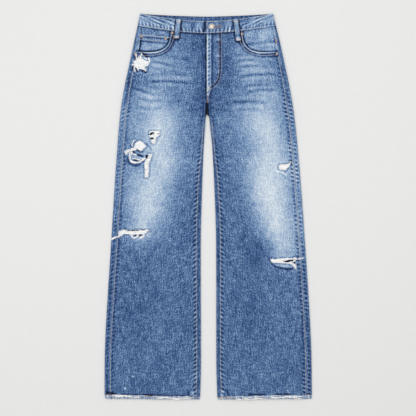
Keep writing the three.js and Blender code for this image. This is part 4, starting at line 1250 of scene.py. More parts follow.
# ---- Tears
# Each outline is where the cloth is open. A mat is the patch of white weft yarns left there, which
# also lies over the cloth round the opening. Slits are the dark gaps between the yarns, as centre
# and half sizes, and bundles are strands of yarn that lie along a path, with their width. The hip
# has no CAD yarns.
TEARS = [
    {"side": RIGHT, "name": "hip", "outline": [(-199, 970), (-193, 974), (-188, 976),
     (-181, 970), (-175, 965), (-167, 962), (-166, 957), (-170, 952), (-177, 950), (-183, 944),
     (-190, 946), (-197, 948), (-203, 952), (-207, 958), (-203, 963)], "mat": [(-201, 972), (-194, 977),
     (-188, 980), (-184, 977), (-180, 973), (-175, 968), (-168, 966), (-163, 963), (-163, 957),
     (-167, 951), (-176, 950), (-172, 938), (-179, 939), (-184, 943), (-189, 944), (-194, 940),
     (-198, 945), (-202, 948), (-206, 953), (-210, 958), (-205, 962), (-211, 965), (-204, 968)],
     "slits": [], "bundles": [([(-201, 987), (-200, 980), (-196, 971)], 3.4), ([(-184, 988), (-187, 982),
     (-189, 976)], 3.4), ([(-166, 976), (-163, 970), (-161, 965), (-168, 963)], 4.0), ([(-213, 954),
     (-208, 957), (-201, 960)], 3.6), ([(-198, 959), (-204, 953), (-206, 947), (-205, 941), (-202, 934)],
     4.6), ([(-201, 951), (-197, 945), (-193, 939)], 3.0), ([(-194, 973), (-192, 982)], 2.4),
     ([(-174, 944), (-173, 937)], 5.0)]},
    {"side": RIGHT, "name": "thigh_upper", "outline": [(-162, 762),
     (-157, 765), (-146, 764), (-135, 764), (-134, 758), (-137, 754), (-145, 752), (-146, 740),
     (-151, 731), (-156, 738), (-161, 750)], "mat": [(-164, 765), (-157, 768), (-145, 767), (-132, 768),
     (-131, 758), (-134, 752), (-142, 751), (-142, 741), (-146, 732), (-152, 728), (-158, 735),
     (-162, 746), (-165, 754)], "slits": [(-159, 757.5, 3.4, 2.8), (-154, 761, 4, 2.8),
     (-154.5, 746, 3.8, 3.6), (-137, 759.5, 1.8, 1.4)], "bundles": []},
    {"side": RIGHT, "name": "thigh_arch", "outline": [(-201, 721),
     (-199, 730), (-194, 736), (-187, 735), (-180, 729), (-175, 724), (-181, 717), (-186, 712),
     (-195, 717)], "mat": [(-207, 721), (-204, 732), (-195, 740), (-186, 739), (-178, 732), (-170, 724),
     (-178, 717), (-184, 708), (-190, 711), (-198, 715), (-204, 716), (-208, 718)], "slits": [],
     "bundles": [([(-233, 704), (-222, 711), (-210, 715), (-199, 716)], 8.5), ([(-228, 706),
     (-227, 699)], 2.8), ([(-221, 707), (-220, 699)], 2.8), ([(-214, 710), (-213, 702)], 2.4),
     ([(-203, 742), (-209, 736), (-213, 728), (-211, 722)], 2.6), ([(-213, 708), (-218, 697),
     (-218, 687), (-214, 680), (-205, 677), (-197, 678)], 8.0), ([(-199, 678), (-190, 679), (-182, 684),
     (-174, 690)], 4.8), ([(-213, 690), (-201, 687.5), (-186, 683)], 3.0), ([(-217, 706), (-207, 701),
     (-198, 698)], 3.6)]},
    {"side": RIGHT, "name": "thigh_bar", "outline": [(-174, 699),
     (-160, 700), (-157, 697), (-161, 686), (-166, 675), (-166, 655), (-167, 637), (-174, 637),
     (-175, 655), (-175, 675), (-174, 688)], "mat": [(-168, 700), (-161, 703), (-152, 702), (-156, 692),
     (-159, 683), (-163, 675), (-163, 655), (-165, 635), (-177, 634), (-177, 655), (-178, 675),
     (-174, 686), (-168, 688)], "slits": [(-171, 695, 2.6, 5.0)], "bundles": [([(-186, 688), (-180, 689),
     (-172, 690)], 3.0)]},
    {"side": RIGHT, "name": "knee_right", "outline": [(-247, 478),
     (-237, 483), (-228, 484), (-205, 484.5), (-180, 486.5), (-172, 485), (-176, 480), (-184, 473),
     (-190, 468), (-200, 467), (-212, 473), (-232, 476)], "mat": [(-252, 480), (-237, 488), (-228, 484),
     (-220, 484), (-206, 485), (-195, 485), (-184, 486), (-174, 487), (-158, 484), (-168, 479),
     (-176, 475), (-186, 473), (-200, 472), (-215, 472), (-226, 473), (-235, 474), (-243, 465),
     (-253, 466), (-252, 471)], "slits": [(-217, 483, 9, 1.7), (-201, 483.5, 8, 1.5),
     (-180, 486, 4.4, 2.2), (-203, 469, 3.4, 3.0), (-189, 470, 3.4, 3.0)], "bundles": [([(-272, 457.5),
     (-262, 463), (-250, 467), (-242, 474)], 6.0), ([(-214, 474), (-213, 467), (-207, 461), (-200, 464),
     (-193, 472)], 4.6), ([(-191, 464), (-185, 463), (-179, 467), (-178, 475)], 5.0), ([(-246, 482),
     (-238, 478), (-226, 476)], 3.5)]},
    {"side": LEFT, "name": "thigh_outer", "outline": [(207, 670),
     (213, 673), (231, 674), (233, 667), (229, 658), (222, 655), (211, 656), (207, 661)],
     "mat": [(205, 671), (212, 672), (232, 673), (241, 688), (243, 680), (238, 667), (230, 660),
     (227, 651), (223, 651), (221, 656), (208, 656), (205, 662)], "slits": [(220, 673.5, 12, 1.0)],
     "bundles": [([(212, 668), (222, 669), (232, 668)], 1.0)]},
    {"side": LEFT, "name": "knee_left", "outline": [(184, 400),
     (200, 402.5), (230, 404), (254, 405), (256, 399), (252, 390), (240, 388), (214, 392), (195, 393)],
     "mat": [(180, 403), (193, 402), (210, 404), (230, 405), (245, 405), (256, 408), (259, 401),
     (254, 395), (254, 389), (258, 381), (255, 374), (250, 381), (243, 387), (233, 389), (218, 390),
     (207, 391), (195, 391), (187, 392), (183, 396)], "slits": [(229, 395.5, 7.5, 2.8),
     (240, 398, 7, 2.8), (251, 392, 3.4, 3.2)], "bundles": [([(262, 402), (270, 404), (278, 406)], 4.0),
     ([(246, 386), (252, 378), (256, 374)], 5.0)]},
]


def felt(tear, rng):
    """Plan paths of short, nearly level yarns scattered over a tear's mat, kept where their ends and
    middles lie on it and no part crosses a slit."""
    mat = tear["mat"]
    (left, low), (right, high) = np.min(mat, axis=0), np.max(mat, axis=0)
    count = int((right - left) * (high - low) * YARN_DENSITY)
    middle = rng.uniform((left, low), (right, high), (count, 2))
    half = rng.uniform(1.6, 5.5, (count, 1))
    angle = rng.normal(0, 0.28, (count, 1))
    t = np.linspace(-1, 1, 5)[None]
    x = middle[:, :1] + half * t * np.cos(angle)
    y = middle[:, 1:] + half * t * np.sin(angle) + rng.uniform(-0.5, 0.5, (count, 1)) * t**2
    keep = inside(mat, x, y).all(axis=1)
    for cx, cy, rx, ry in tear["slits"]:
        keep &= (((x - cx) / rx) ** 2 + ((y - cy) / ry) ** 2 > 1).all(axis=1)
    return np.dstack([x, y])[keep]


def strands(path, wide, rng):
    """Plan paths of the yarns of a bundle: side by side across its width, drawn together at the far
    end, each with its own slight wander."""
    count = max(3, int(wide * 2.2))
    t = np.linspace(0, 1, 9)
    centre = resample(path, t)
    across = np.gradient(centre, axis=0)
    across = np.stack([-across[:, 1], across[:, 0]], -1)
    across /= np.linalg.norm(across, axis=1, keepdims=True)
    offset = rng.uniform(-0.5, 0.5, (count, 1, 1)) * wide
    spread = (1 - 0.45 * t)[None, :, None]
    wander = rng.uniform(-0.9, 0.9, (count, 1, 1)) * np.sin(2 * np.pi * t)[None, :, None]
    return centre[None] + across[None] * (offset * spread + wander)


YARN_DENSITY = 0.85  # yarns tried per square millimetre of a mat


def yarn_paths(tear, rng):
    """The yarns of one tear in space, each a little above the cloth or the one below it."""
    groups = [felt(tear, rng)]
    groups += [resample_rows(strands(path, wide, rng)) for path, wide in tear["bundles"]]
    plan = np.concatenate(groups)
    lift = rng.uniform(0.1, 1.0, (len(plan), 1)) + 0.35 * np.sin(np.linspace(0, np.pi, 5))[None]
    z = top_height(plan[..., 0], plan[..., 1]) + lift
    return np.dstack([plan, z])


def resample_rows(plan):
    """Cuts each nine-point strand into two of five points, as long as the felt's yarns are."""
    return np.concatenate([plan[:, :5], plan[:, 4:]])


def bare_yarns(tear, seed):
    """One tear's yarns: tubes with thinner ends, 7 in 100 of them stained blue."""
    rng = np.random.default_rng(seed)
    paths = yarn_paths(tear, rng)
    taper = np.array([[0.42, 0.62, 0.66, 0.62, 0.42]])
    tones = np.where(rng.uniform(0, 1, len(paths)) < 0.07, 0.45, rng.uniform(0.8, 1.0, len(paths)))
    name = "weft_yarns_" + tear["name"]
    replaced = [] if tear["name"] == "hip" else ["bare_yarns_" + tear["name"]]
    return tubes(name, paths, taper, bare_yarn(), "bare_yarns", tones, replaced, sides=4)


def frays():
    """Loose ends of warp and weft round every tear: short, fine, bent threads, white or blue."""
    rng = np.random.default_rng(77)
    paths, tones = [], []
    for tear in TEARS:
        outline = closed(tear["mat"])
        length = np.hypot(*np.diff(np.array(outline, float), axis=0).T).sum()
        count = int(length / 1.1)
        shares = rng.uniform(0.01, 0.99, count)
        root = resample(outline, shares)
        ahead = resample(outline, shares + 0.01) - resample(outline, shares - 0.01)
        ahead /= np.maximum(np.linalg.norm(ahead, axis=1, keepdims=True), 1e-6)
        normal = np.stack([-ahead[:, 1], ahead[:, 0]], -1)
        reach = rng.uniform(1.0, 4.2, (count, 1, 1)) * np.sign(rng.uniform(-1, 1, (count, 1, 1)))
        lean = rng.uniform(-2.2, 2.2, (count, 1, 1))
        t = np.linspace(0, 1, 5)[None, :, None]
        plan = root[:, None] + normal[:, None] * reach * t + ahead[:, None] * lean * t**2
        z = top_height(plan[..., 0], plan[..., 1]) + 0.15 + 0.6 * t[..., 0]
        paths.append(np.dstack([plan, z[..., None]]))
        tones.append(rng.choice([0.05, 0.3, 0.9], count))
    paths, tones = np.concatenate(paths), np.concatenate(tones)
    return tubes("frayed_ends", paths, np.linspace(0.42, 0.2, 5)[None], bare_yarn(), "bare_yarns",
                 tones, sides=4)


def tear_shadow(side, x, y):
    """Round each mat a painted shadow, in broken patches, then a little paler, as wear."""
    dark = np.zeros(np.shape(x))
    for tear in TEARS:
        if tear["side"] == side:
            away, _, _ = trace(closed(tear["mat"]), x, y)
            patchy = 0.65 + 0.55 * soft_noise(x, y, 6, 201)
            dark -= 0.5 * bell(np.abs(away) - 1.6, 2.2) * patchy
            dark += 0.12 * bell(np.abs(away) - 7, 3.5)
    return dark


# ---- Hems
# Bundles of white weft along each hem: where one starts and ends, its height and its width.
HEM_BUNDLES = {
    RIGHT: [(-258, -216, 10.6, 4.0), (-142, -110, 6.2, 2.8), (-112, -48, 5.2, 3.0),
            (-96, -62, 2.8, 1.6), (-206, -192, 6.0, 2.0)],
    LEFT: [(87, 103, 2.9, 2.6), (106, 122, 3.2, 2.8), (126, 168, 4.2, 3.4), (186, 226, 7.2, 3.2),
           (224, 270, 9.0, 3.6), (255, 268, 5.0, 2.2)],
}
# The brown thread that once turned the hem up, left in short lengths.
HEM_THREAD = {
    RIGHT: [[(-289, 15.2), (-278, 15.8), (-267, 13.6)], [(-175, 11.6), (-151, 11.2)],
            [(-47, 9.4), (-36, 10), (-25, 7.4)]],
    LEFT: [[(32, 7.4), (42, 9.6), (53, 7.8)], [(53, 7.8), (83, 7.0)], [(273, 14.6), (298, 15.2)]],
}


def hem_fringe(side):
    """The unpicked hem: blue and white warp ends that hang free all round the leg opening, and
    bundles of white weft that still lie along it."""
    rng = np.random.default_rng(90 + side)
    start, end = side * (INNER[side](0) + 1.5), side * (OUTER[side](0) - 1.5)
    within = lambda x: side * np.clip(side * x, side * start, side * end)
    t = np.linspace(0, 1, 6)[None]
    count = 400
    paths, tones = [], []
    for layer in ("front", "back"):
        x = within(mix(start, end, (np.arange(count) + rng.uniform(-0.5, 0.5, count)) / count))
        edge = cloth_hem(side, x)
        drop = rng.uniform(0.62, 1.0, count) * (0.72 * edge + 0.28 * HEM_INNER - 0.5)
        px = within(x[:, None] + rng.normal(0, 1.4, (count, 1)) * t**1.5)
        py = edge[:, None] + 1.5 - (drop[:, None] + 1.5) * t
        if layer == "front":
            near = np.minimum(side * (px - start), side * (end - px))
            high = top_height(px, np.maximum(py, 4.0))
            pz = high - 0.5 - 1.8 * t**2 * rng.uniform(0.2, 1, (count, 1)) - 0.6 * bell(near, 3)
        else:
            pz = 0.7 + 0.5 * rng.uniform(0, 1, (count, 1)) * t
        paths.append(np.dstack([px, py, pz]))
        tones.append(rng.choice([0.05, 0.25, 0.5, 0.95], count, p=[0.26, 0.36, 0.22, 0.16]))
    on_top = lambda x: top_height(x, 6.0 + 0 * x)
    weft = 14
    x0 = mix(start, end - side * 40, rng.uniform(0, 1, weft))
    px = x0[:, None] + side * rng.uniform(14, 42, weft)[:, None] * t
    drop = rng.uniform(0.3, 3.2, (weft, 1))
    py = cloth_hem(side, px) - drop + 0.6 * np.sin(2 * np.pi * t + rng.uniform(0, 6, (weft, 1)))
    paths.append(np.dstack([px, py, on_top(px) - 0.2 + rng.uniform(0, 0.4, (weft, 1))]))
    tones.append(rng.uniform(0.4, 0.9, weft))
    for first, last, level, wide in HEM_BUNDLES[side]:
        count = int(wide * 3.0)
        px = mix(first, last, t) + rng.uniform(-5, 5, (count, 1))
        wave = 1.2 * np.sin(2 * np.pi * t * abs(last - first) / 34 + rng.uniform(0, 6))
        py = level + wave + rng.normal(0, 0.2, (count, 1)) * wide
        px = within(px)
        pz = on_top(px) + rng.uniform(-0.4, 0.5, (count, 1))
        paths.append(np.dstack([px, np.maximum(py, 0.9), pz]))
        tones.append(rng.uniform(0.85, 1.0, count))
    paths, tones = np.concatenate(paths), np.concatenate(tones)
    return tubes(f"frayed_hem_{SIDE[side]}", paths, np.linspace(0.78, 0.5, 6)[None], bare_yarn(),
                 "bare_yarns", tones, [f"hem_fringe_{SIDE[side]}"], sides=4)


# ---- Stitching
def run_of(path, pitch=3.3, length=2.6):
    """The stitches along a path: the plan points of each, four to a stitch."""
    path = np.array(path, float)
    total = np.hypot(*np.diff(path, axis=0).T).sum()
    first = np.arange(0.3, total - length, pitch)
    at = first[:, None] + np.linspace(0, length, 4)[None]
    return resample(path, at / total)


THREAD = 0.5  # radius of the topstitching's thread


def stitches(name, runs, surface, under=False):
    """Rows of lockstitch, each stitch a short thread that rises out of the cloth and dives back."""
    rng = np.random.default_rng(len(name))
    plans = np.concatenate([run for run, _ in runs])
    tones = np.concatenate([np.full(len(run), tone) for run, tone in runs])
    tones = np.clip(tones + rng.normal(0, 0.13, len(tones)), 0, 1)
    profile = np.array([-0.45, 0.45, 0.45, -0.45]) * THREAD
    z = surface(plans[..., 0], plans[..., 1]) + (-profile if under else profile)
    taper = np.array([0.6, 1.0, 1.0, 0.6]) * THREAD
    paths = np.dstack([plans[..., 0], plans[..., 1], z])
    return tubes(name, paths, taper[None], topstitch(), "bare_yarns", tones)


def seam_path(side, low, high, offset, kind):
    """A path beside a leg's outseam or inseam, offset millimetres into the front panel."""
    y = np.arange(low, high, 6.0)
    if kind == "outseam":
        return np.stack([side * (OUTER[side](y) - outseam_inset(y) - offset), y], -1)
    inner = panel_edges(side, y)[0] + side * offset
    return np.stack([inner, y], -1)


def offset_path(path, distance):
    """A path moved sideways by a distance, to the left of its direction."""
    path = np.array(path, float)
    step = np.gradient(path, axis=0)
    step /= np.linalg.norm(step, axis=1, keepdims=True)
    return path + distance * np.stack([-step[:, 1], step[:, 0]], -1)


J_OUTER = [(42.4, 1063), (42.6, 1000), (42.6, 945), (41.4, 928), (38.3, 914), (33.8, 905),
           (25.6, 895), (17, 888.5), (8.0, 885)]
J_INNER = [(35.2, 1063), (35.2, 1000), (35.6, 945), (34.8, 930), (32.2, 917), (27.6, 908.5),
           (20.2, 901), (14, 897.5), (8.0, 896)]
J_MIDDLE = [((a + c) / 2, (b + d) / 2) for (a, b), (c, d) in zip(J_OUTER, J_INNER)]


def front_stitches():
    """The seams, pocket edges, fly and hem thread of the front panels."""
    runs = []
    for side in SIDE:
        runs.append((run_of(seam_path(side, 22, 985, 2.2, "outseam")), 0.72))
        runs.append((run_of(seam_path(side, 20, 800, 1.8, "inseam")), 0.8))
        runs.append((run_of(offset_path(scoop(side), -2.2 * side)), 0.85))
        runs.append((run_of(offset_path(scoop(side), -9.0 * side)[2:]), 0.75))
        for path in HEM_THREAD[side]:
            for rise, tone in ((0.6, 0.05), (-0.5, 0.3)):
                runs.append((run_of([(a, b + rise) for a, b in path], 3.3, 4.2), tone))
    for path, tone in (
            (J_OUTER, 0.7), (J_INNER, 0.65), ([(1.6, 886), (1.8, 853)], 0.65),
            ([(8.6, 886), (5.5, 868), (3.2, 853)], 0.55), ([(-99, 1042), (-90, 1032)], 0.6),
            ([(-196, 1041.3), (-104, 1032.8)], 0.85), ([(-188, 1028.5), (-118, 1020.5)], 0.8)):
        runs.append((run_of(path), tone))
    return stitches("front_topstitching", runs, top_height)


def band_stitches():
    """Two rows along the waistband and one down its left end."""
    runs = []
    for start, end in ((-176, -3), (0, 176)):
        x = np.linspace(start, end, 60)
        for drop, tone in ((BAND_HEIGHT - 2.2, 0.85), (2.0, 0.75)):
            runs.append((run_of(np.stack([x, front_band_top(x) - drop], -1)), tone))
    y = front_band_top(0.0)
    runs.append((run_of([(0.8, y - 2), (0.8, y - BAND_HEIGHT + 2)]), 0.8))
    return stitches("band_topstitching", runs, band_height)


def bar_tacks():
    """Short dense zigzags of thick thread where a seam takes the strain."""
    tacks = [
        ((8.5, 893), (4.0, 886), 3.2, 0.8), ((7.2, 853), (1.8, 848), 3.0, 0.35),
        ((-85.0, 1077.5), (-74.0, 1077.5), 2.6, 0.85), ((-90.5, 1034), (-79.5, 1034), 2.8, 0.9),
        ((77.5, 1078), (88.5, 1078), 2.6, 0.85), ((85.5, 1027), (96.5, 1027), 2.8, 0.95),
        ((197, 1030), (200, 1015), 3.0, 0.5),
    ]
    paths, tones = [], []
    for (x0, y0), (x1, y1), wide, tone in tacks:
        length = math.hypot(x1 - x0, y1 - y0)
        count = int(length / 0.75) + 1
        t = np.linspace(0, 1, count)[:, None]
        middle = np.array([[x0, y0]]) + t * np.array([[x1 - x0, y1 - y0]])
        across = np.array([-(y1 - y0), x1 - x0]) / length * wide / 2
        share = np.linspace(-1, 1, 4)[None, :, None]
        plan = middle[:, None] + share * across
        top = np.maximum(top_height(plan[..., 0], plan[..., 1]), loop_height(plan[..., 0], plan[..., 1]))
        z = top + np.array([0.0, 0.55, 0.55, 0.0])
        paths.append(np.dstack([plan, z[..., None]]))
        tones.append(np.full(count, tone))
    paths, tones = np.concatenate(paths), np.concatenate(tones)
    tones = np.clip(tones + np.random.default_rng(5).normal(0, 0.12, len(tones)), 0, 1)
    return tubes("bar_tacks", paths, np.array([[0.3, 0.48, 0.48, 0.3]]), topstitch(), "bare_yarns",
                 tones)


def loop_height(x, y):
    """The top of the front belt loops where one lies at that place, and 0 elsewhere."""
    height = np.zeros(np.shape(x))
    for _, top, low, end in FRONT_LOOPS:
        head = front_band_top(top)
        t = (y - end) / (head - end)
        on = (np.abs(x - mix(low, top, t)) < LOOP_WIDTH / 2) & (t > -0.02) & (t < 1.02)
        height = np.where(on, loop_face(x, y, t, head), height)
    return height


def seat_stitches():
    """The seams of the hidden side: yoke, centre back, pockets and band, all sewn in pairs."""
    runs = []
    seam = lambda x, rise: np.stack([x, yoke_seam(x) + rise], -1)
    for side in SIDE:
        x = np.linspace(side * 3, side * 205, 60)
        runs += [(run_of(seam(x, rise)), 0.7) for rise in (2.2, 7.5)]
        for inset in (2.2, 7.5):
            rim = [(34.3 + inset, 973 - inset), (39 + inset, 832 + inset),
                   (108, 816 + inset * 1.1), (177 - inset, 838 + inset), (181.7 - inset, 979 - inset)]
            runs.append((run_of([(side * a, b) for a, b in rim]), 0.75))
        runs.append((run_of([(side * 35, 963), (side * 181, 969)]), 0.75))
    seat = lambda x, y: np.where(
        (np.abs(x) > 33) & (np.abs(x) < 183) & (y < 980), HIP_LIFT - PATCH, HIP_LIFT) + 0.35
    y = np.arange(856, 1056, 6.0)
    runs += [(run_of(np.stack([CENTRE + aside + 0 * y, y], -1)), 0.7) for aside in (2.6, 7.8)]
    x = np.linspace(-176, 176, 90)
    for drop in (BAND_HEIGHT - 2.2, 2.0):
        runs.append((run_of(np.stack([x, back_band_top(x) - drop], -1)), 0.8))
    return stitches("seat_topstitching", runs, seat, under=True)


def buttonhole():
    """The keyhole's purled edge: short threads square to the slit, all round it, in brown."""
    (eye, level), end, half = BUTTON_AT, 43.0, 1.3
    x = np.concatenate([np.linspace(eye + 3, end, 34), np.linspace(end, eye + 3, 34)])
    sign = np.concatenate([np.ones(34), -np.ones(34)])
    y = level + sign * half
    share = np.array([0.0, 0.35, 0.75, 1.0])[None]
    px = x[:, None] + 0 * share
    py = y[:, None] + sign[:, None] * share * 2.0
    pz = band_height(px, py) + np.array([-0.3, 0.35, 0.35, -0.2])[None]
    tones = np.where(np.arange(68) % 3 == 0, 0.45, 0.12)
    return tubes("buttonhole_thread", np.dstack([px, py, pz]), np.array([[0.35, 0.45, 0.45, 0.3]]),
                 topstitch(), "bare_yarns", tones)


# ---- Metal trims
def turned(name, outline, tone, centre, look, slot, replaced, sides=40):
    """A solid of revolution about a vertical axis: pairs of radius and height, from the middle of its
    foot, out and up, and back to the middle of its top."""
    radius, height = np.array(outline, float).T
    turn = 2 * np.pi * np.arange(sides) / sides
    rings = np.stack([radius[1:-1, None] * np.cos(turn), radius[1:-1, None] * np.sin(turn),
                      height[1:-1, None] + 0 * turn], -1)
    points = np.vstack([rings.reshape(-1, 3), [(0, 0, height[0]), (0, 0, height[-1])]])
    points = points + np.array([*centre, 0.0])
    count = len(radius) - 2
    squares = grid_faces(count, sides, ring=True).reshape(-1, 4)
    foot, crown = count * sides, count * sides + 1
    here = np.arange(sides)
    after = (here + 1) % sides
    bottom = np.stack([after, here, np.full(sides, foot)], -1)
    last = (count - 1) * sides
    top = np.stack([last + here, last + after, np.full(sides, crown)], -1)
    corners = np.concatenate([squares.ravel(), bottom.ravel(), top.ravel()])
    counts = np.concatenate([np.full(len(squares), 4), np.full(2 * sides, 3)])
    tones = np.concatenate([np.repeat(tone[1:-1], sides), [tone[0], tone[-1]]])
    piece = new_object(name, points, corners, counts, look, tone=np.asarray(tones, float))
    return place(piece, slot, replaced)


def waist_button():
    """The shank button, turned: a shank, a rolled rim, a groove and a domed middle."""
    foot = BAND_TOP + 0.4
    head = BAND_TOP + GAP + BAND + 0.5
    outline = [(0, foot), (2.4, foot), (2.4, head), (7.2, head), (8.0, head + 0.5), (8.2, head + 1.3),
               (7.9, head + 2.1), (7.0, head + 2.55), (6.1, head + 2.3), (5.5, head + 1.8),
               (4.9, head + 1.7), (4.3, head + 2.0), (3.4, head + 2.35), (1.8, head + 2.5),
               (0.8, head + 2.35), (0, head + 2.3)]
    tone = [0.2, 0.2, 0.2, 0.3, 0.6, 0.9, 1.0, 0.95, 0.5, 0.1, 0.1, 0.5, 0.9, 0.95, 0.7, 0.6]
    return turned("shank_button", outline, tone, BUTTON_AT, button_metal(), "button_metal",
                  ["waist_button"], 48)


def rivets():
    """Copper rivets with a domed crown and a small nipple, on the corners of the pockets."""
    for name, x, y, drop in (
            ("rivet_pocket_right_fly", -97.5, 1047, 0.0), ("rivet_pocket_right_side", -203, 987, 0.0),
            ("rivet_pocket_left_fly", 101.5, 1044, 0.0), ("rivet_pocket_left_side", 201, 987, 0.0),
            ("rivet_coin_pocket_side", -185, 1037, 1.3), ("rivet_coin_pocket_fly", -116.5, 1030, 1.3)):
        foot = float(top_height(np.array([x]), np.array([y]))[0]) - drop - 0.1
        outline = [(0, foot), (3.2, foot), (3.4, foot + 0.35), (3.1, foot + 0.9), (2.4, foot + 1.25),
                   (1.5, foot + 1.3), (1.0, foot + 1.55), (0.5, foot + 1.8), (0, foot + 1.85)]
        tone = [0.1, 0.1, 0.5, 1.0, 0.9, 0.3, 0.7, 1.0, 1.0]
        turned(name + "_cap", outline, tone, (x, y), rivet_metal(), "rivet_metal", [name], 24)


# ---- Stage
def aim(thing, target):
    """Turns a light so that it shines on the target."""
    direction = np.array(target) - np.array(thing.location)
    flat = math.hypot(direction[0], direction[1])
    thing.rotation_euler = (math.atan2(flat, -direction[2]), 0,
                            math.atan2(direction[1], direction[0]) - math.pi / 2)


SENSOR = 0.036  # width of the camera's sensor


def build_stage():
    """A camera straight above, one wide soft light, a pale surround and a plain paper floor."""
    stage = bpy.context.scene.jeans_stage
    scene = bpy.context.scene
    scene.view_settings.view_transform = "Standard"
    camera_data = bpy.data.cameras.new("straight_above")
    camera_data.lens = stage.lens / MM
    camera_data.sensor_width = SENSOR / MM
    camera_data.clip_end = 50.0
    camera = bpy.data.objects.new("straight_above", camera_data)
    distance = stage.view_width * stage.lens / SENSOR
    camera.location = (stage.aim[0], stage.aim[1], CAD_BOX[1].z / 2 + distance)
    scene.collection.objects.link(camera)
    scene.camera = camera
    world = bpy.data.worlds.new("studio_fill")
    world.use_nodes = True
    background = world.node_tree.nodes["Background"]
    background.inputs["Color"].default_value = linear("F6F6F6")
    background.inputs["Strength"].default_value = stage.fill
    scene.world = world
    light = bpy.data.lights.new("overhead_softbox", "AREA")
    light.shape = "RECTANGLE"
    light.size, light.size_y = stage.softbox, stage.softbox * 0.7
    light.energy = stage.key
    lamp = bpy.data.objects.new("overhead_softbox", light)
    lamp.location = (-0.2, 0.45, 2.7)
    aim(lamp, (0, 0, 0))
    scene.collection.objects.link(lamp)
    bpy.ops.mesh.primitive_grid_add(x_subdivisions=4, y_subdivisions=4, size=14)
    floor = bpy.context.object
    floor.name = "pale_floor"
    floor.data.transform(Matrix.Translation((0, 0, -0.0004)))
    def build(tree, shader):
        where = node(tree, "ShaderNodeTexCoord").outputs["Object"]
        grain = speckle(tree, where, 0.02)
        colour = ramp(tree, grain, [(0.0, "E9E9E8"), (1.0, "EDEDEC")])
        tree.links.new(colour, shader.inputs["Base Color"])
        shader.inputs["Roughness"].default_value = 0.95
        shader.inputs["Specular IOR Level"].default_value = 0.1
    floor.data.materials.append(material("matt_studio_paper", build))
    floor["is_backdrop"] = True


# ---- Sizes and colours that a user would change
def shade(label, code, what):
    return FloatVectorProperty(name=label, description=what, size=4, subtype="COLOR", min=0, max=1,
                               default=linear(code))


class JeansCloth(bpy.types.PropertyGroup):
    """How thick and how creased the cloth lies."""
    crown: FloatProperty(
        name="Crown", description="How far a leg rises between its folded edges, in millimetres",
        default=1.6, min=0, max=6)
    drape: FloatProperty(
        name="Drape", description="Size of the slow waves in the cloth", default=0.9, min=0, max=3)
    crease: FloatProperty(
        name="Creases", description="Depth of the creases at the hips", default=1.0, min=0, max=3)


class JeansColours(bpy.types.PropertyGroup):
    """The colours of the denim, from its seams' shadows to its palest wear, and of the thread."""
    # Shadow colours the painted shadow along the seams and Deep the painted shade in the creases, besides
    # unworn indigo.
    shadow: shade("Shadow", "1B2F55", "Unwashed indigo, deep in the seams")
    deep: shade("Deep", "284473", "Indigo in the creases")
    plain: shade("Plain", "476998", "The cloth where it is not worn")
    worn: shade("Worn", "7896BC", "Lightly worn cloth")
    faded: shade("Faded", "9DB5D1", "Well worn cloth")
    palest: shade("Palest", "CBD9E6", "The palest part of the thighs")
    thread: shade("Thread", "C3B0A0", "The topstitching, where it is neither sheltered nor rubbed")


class JeansStage(bpy.types.PropertyGroup):
    """The camera and the light."""
    lens: FloatProperty(name="Lens", description="Focal length", default=0.085, min=0.02, max=0.3,
                        subtype="DISTANCE", unit="LENGTH")
    view_width: FloatProperty(name="View width", description="Width that the camera takes in",
                              default=1.1856, min=0.5, max=5, subtype="DISTANCE", unit="LENGTH")
    aim: FloatVectorProperty(name="Aim", description="The point under the camera", size=2,
                             default=(-0.0007, -0.003), subtype="TRANSLATION", unit="LENGTH")
    key: FloatProperty(name="Softbox", description="Power of the overhead light", default=65, min=0,
                       max=1000, subtype="POWER", unit="POWER")
    softbox: FloatProperty(name="Softbox width", description="Width of the overhead light",
                           default=4.6, min=0.2, max=10, subtype="DISTANCE", unit="LENGTH")
    fill: FloatProperty(name="Fill", description="Strength of the light from all round",
                        default=0.52, min=0, max=5)


# ---- Operators
class JEANS_OT_stage(bpy.types.Operator):
    """Adds the camera, the light and the floor"""
    bl_idname = "jeans.stage"
    bl_label = "Stage"

    def execute(self, context):
        build_stage()
        return {"FINISHED"}


class JEANS_OT_back_panels(bpy.types.Operator):
    """Adds the back panels, which wrap over both edges of each leg, and the yokes above them"""
    bl_idname = "jeans.back_panels"
    bl_label = "Back panels and yokes"

    def execute(self, context):
        for side in SIDE:
            back_panel(side)
            yoke(side)
        return {"FINISHED"}


class JEANS_OT_front_panels(bpy.types.Operator):
    """Adds the front panels, with their scooped pocket openings and their tears"""
    bl_idname = "jeans.front_panels"
    bl_label = "Front panels"

    def execute(self, context):
        for side in SIDE:
            front_panel(side)
        return {"FINISHED"}


class JEANS_OT_pockets(bpy.types.Operator):
    """Adds the front pockets' facings, bag and coin pocket, the fly's shield and the back pockets"""
    bl_idname = "jeans.pockets"
    bl_label = "Pockets and fly"

    def execute(self, context):
        for side in SIDE:
            facing(side)
            back_pocket(side)
        coin_pocket()
        pocket_bag()
        underlap()
        return {"FINISHED"}


class JEANS_OT_waistband(bpy.types.Operator):
    """Adds the waistband, one strip whose left end laps over its right end"""
    bl_idname = "jeans.waistband"
    bl_label = "Waistband"

    def execute(self, context):
        waistband()
        return {"FINISHED"}


class JEANS_OT_belt_loops(bpy.types.Operator):
    """Adds the belt loops, front and back"""
    bl_idname = "jeans.belt_loops"
    bl_label = "Belt loops"

    def execute(self, context):
        for name, top, low, end in FRONT_LOOPS:
            front_loop(name, top, low, end)
        for name, at in BACK_LOOPS:
            back_loop(name, at)
        return {"FINISHED"}


class JEANS_OT_tears(bpy.types.Operator):
    """Adds the bare yarns across the tears and the frayed ends round them"""
    bl_idname = "jeans.tears"
    bl_label = "Tears"

    def execute(self, context):
        for number, tear in enumerate(TEARS):
            bare_yarns(tear, 200 + number)
        frays()
        return {"FINISHED"}


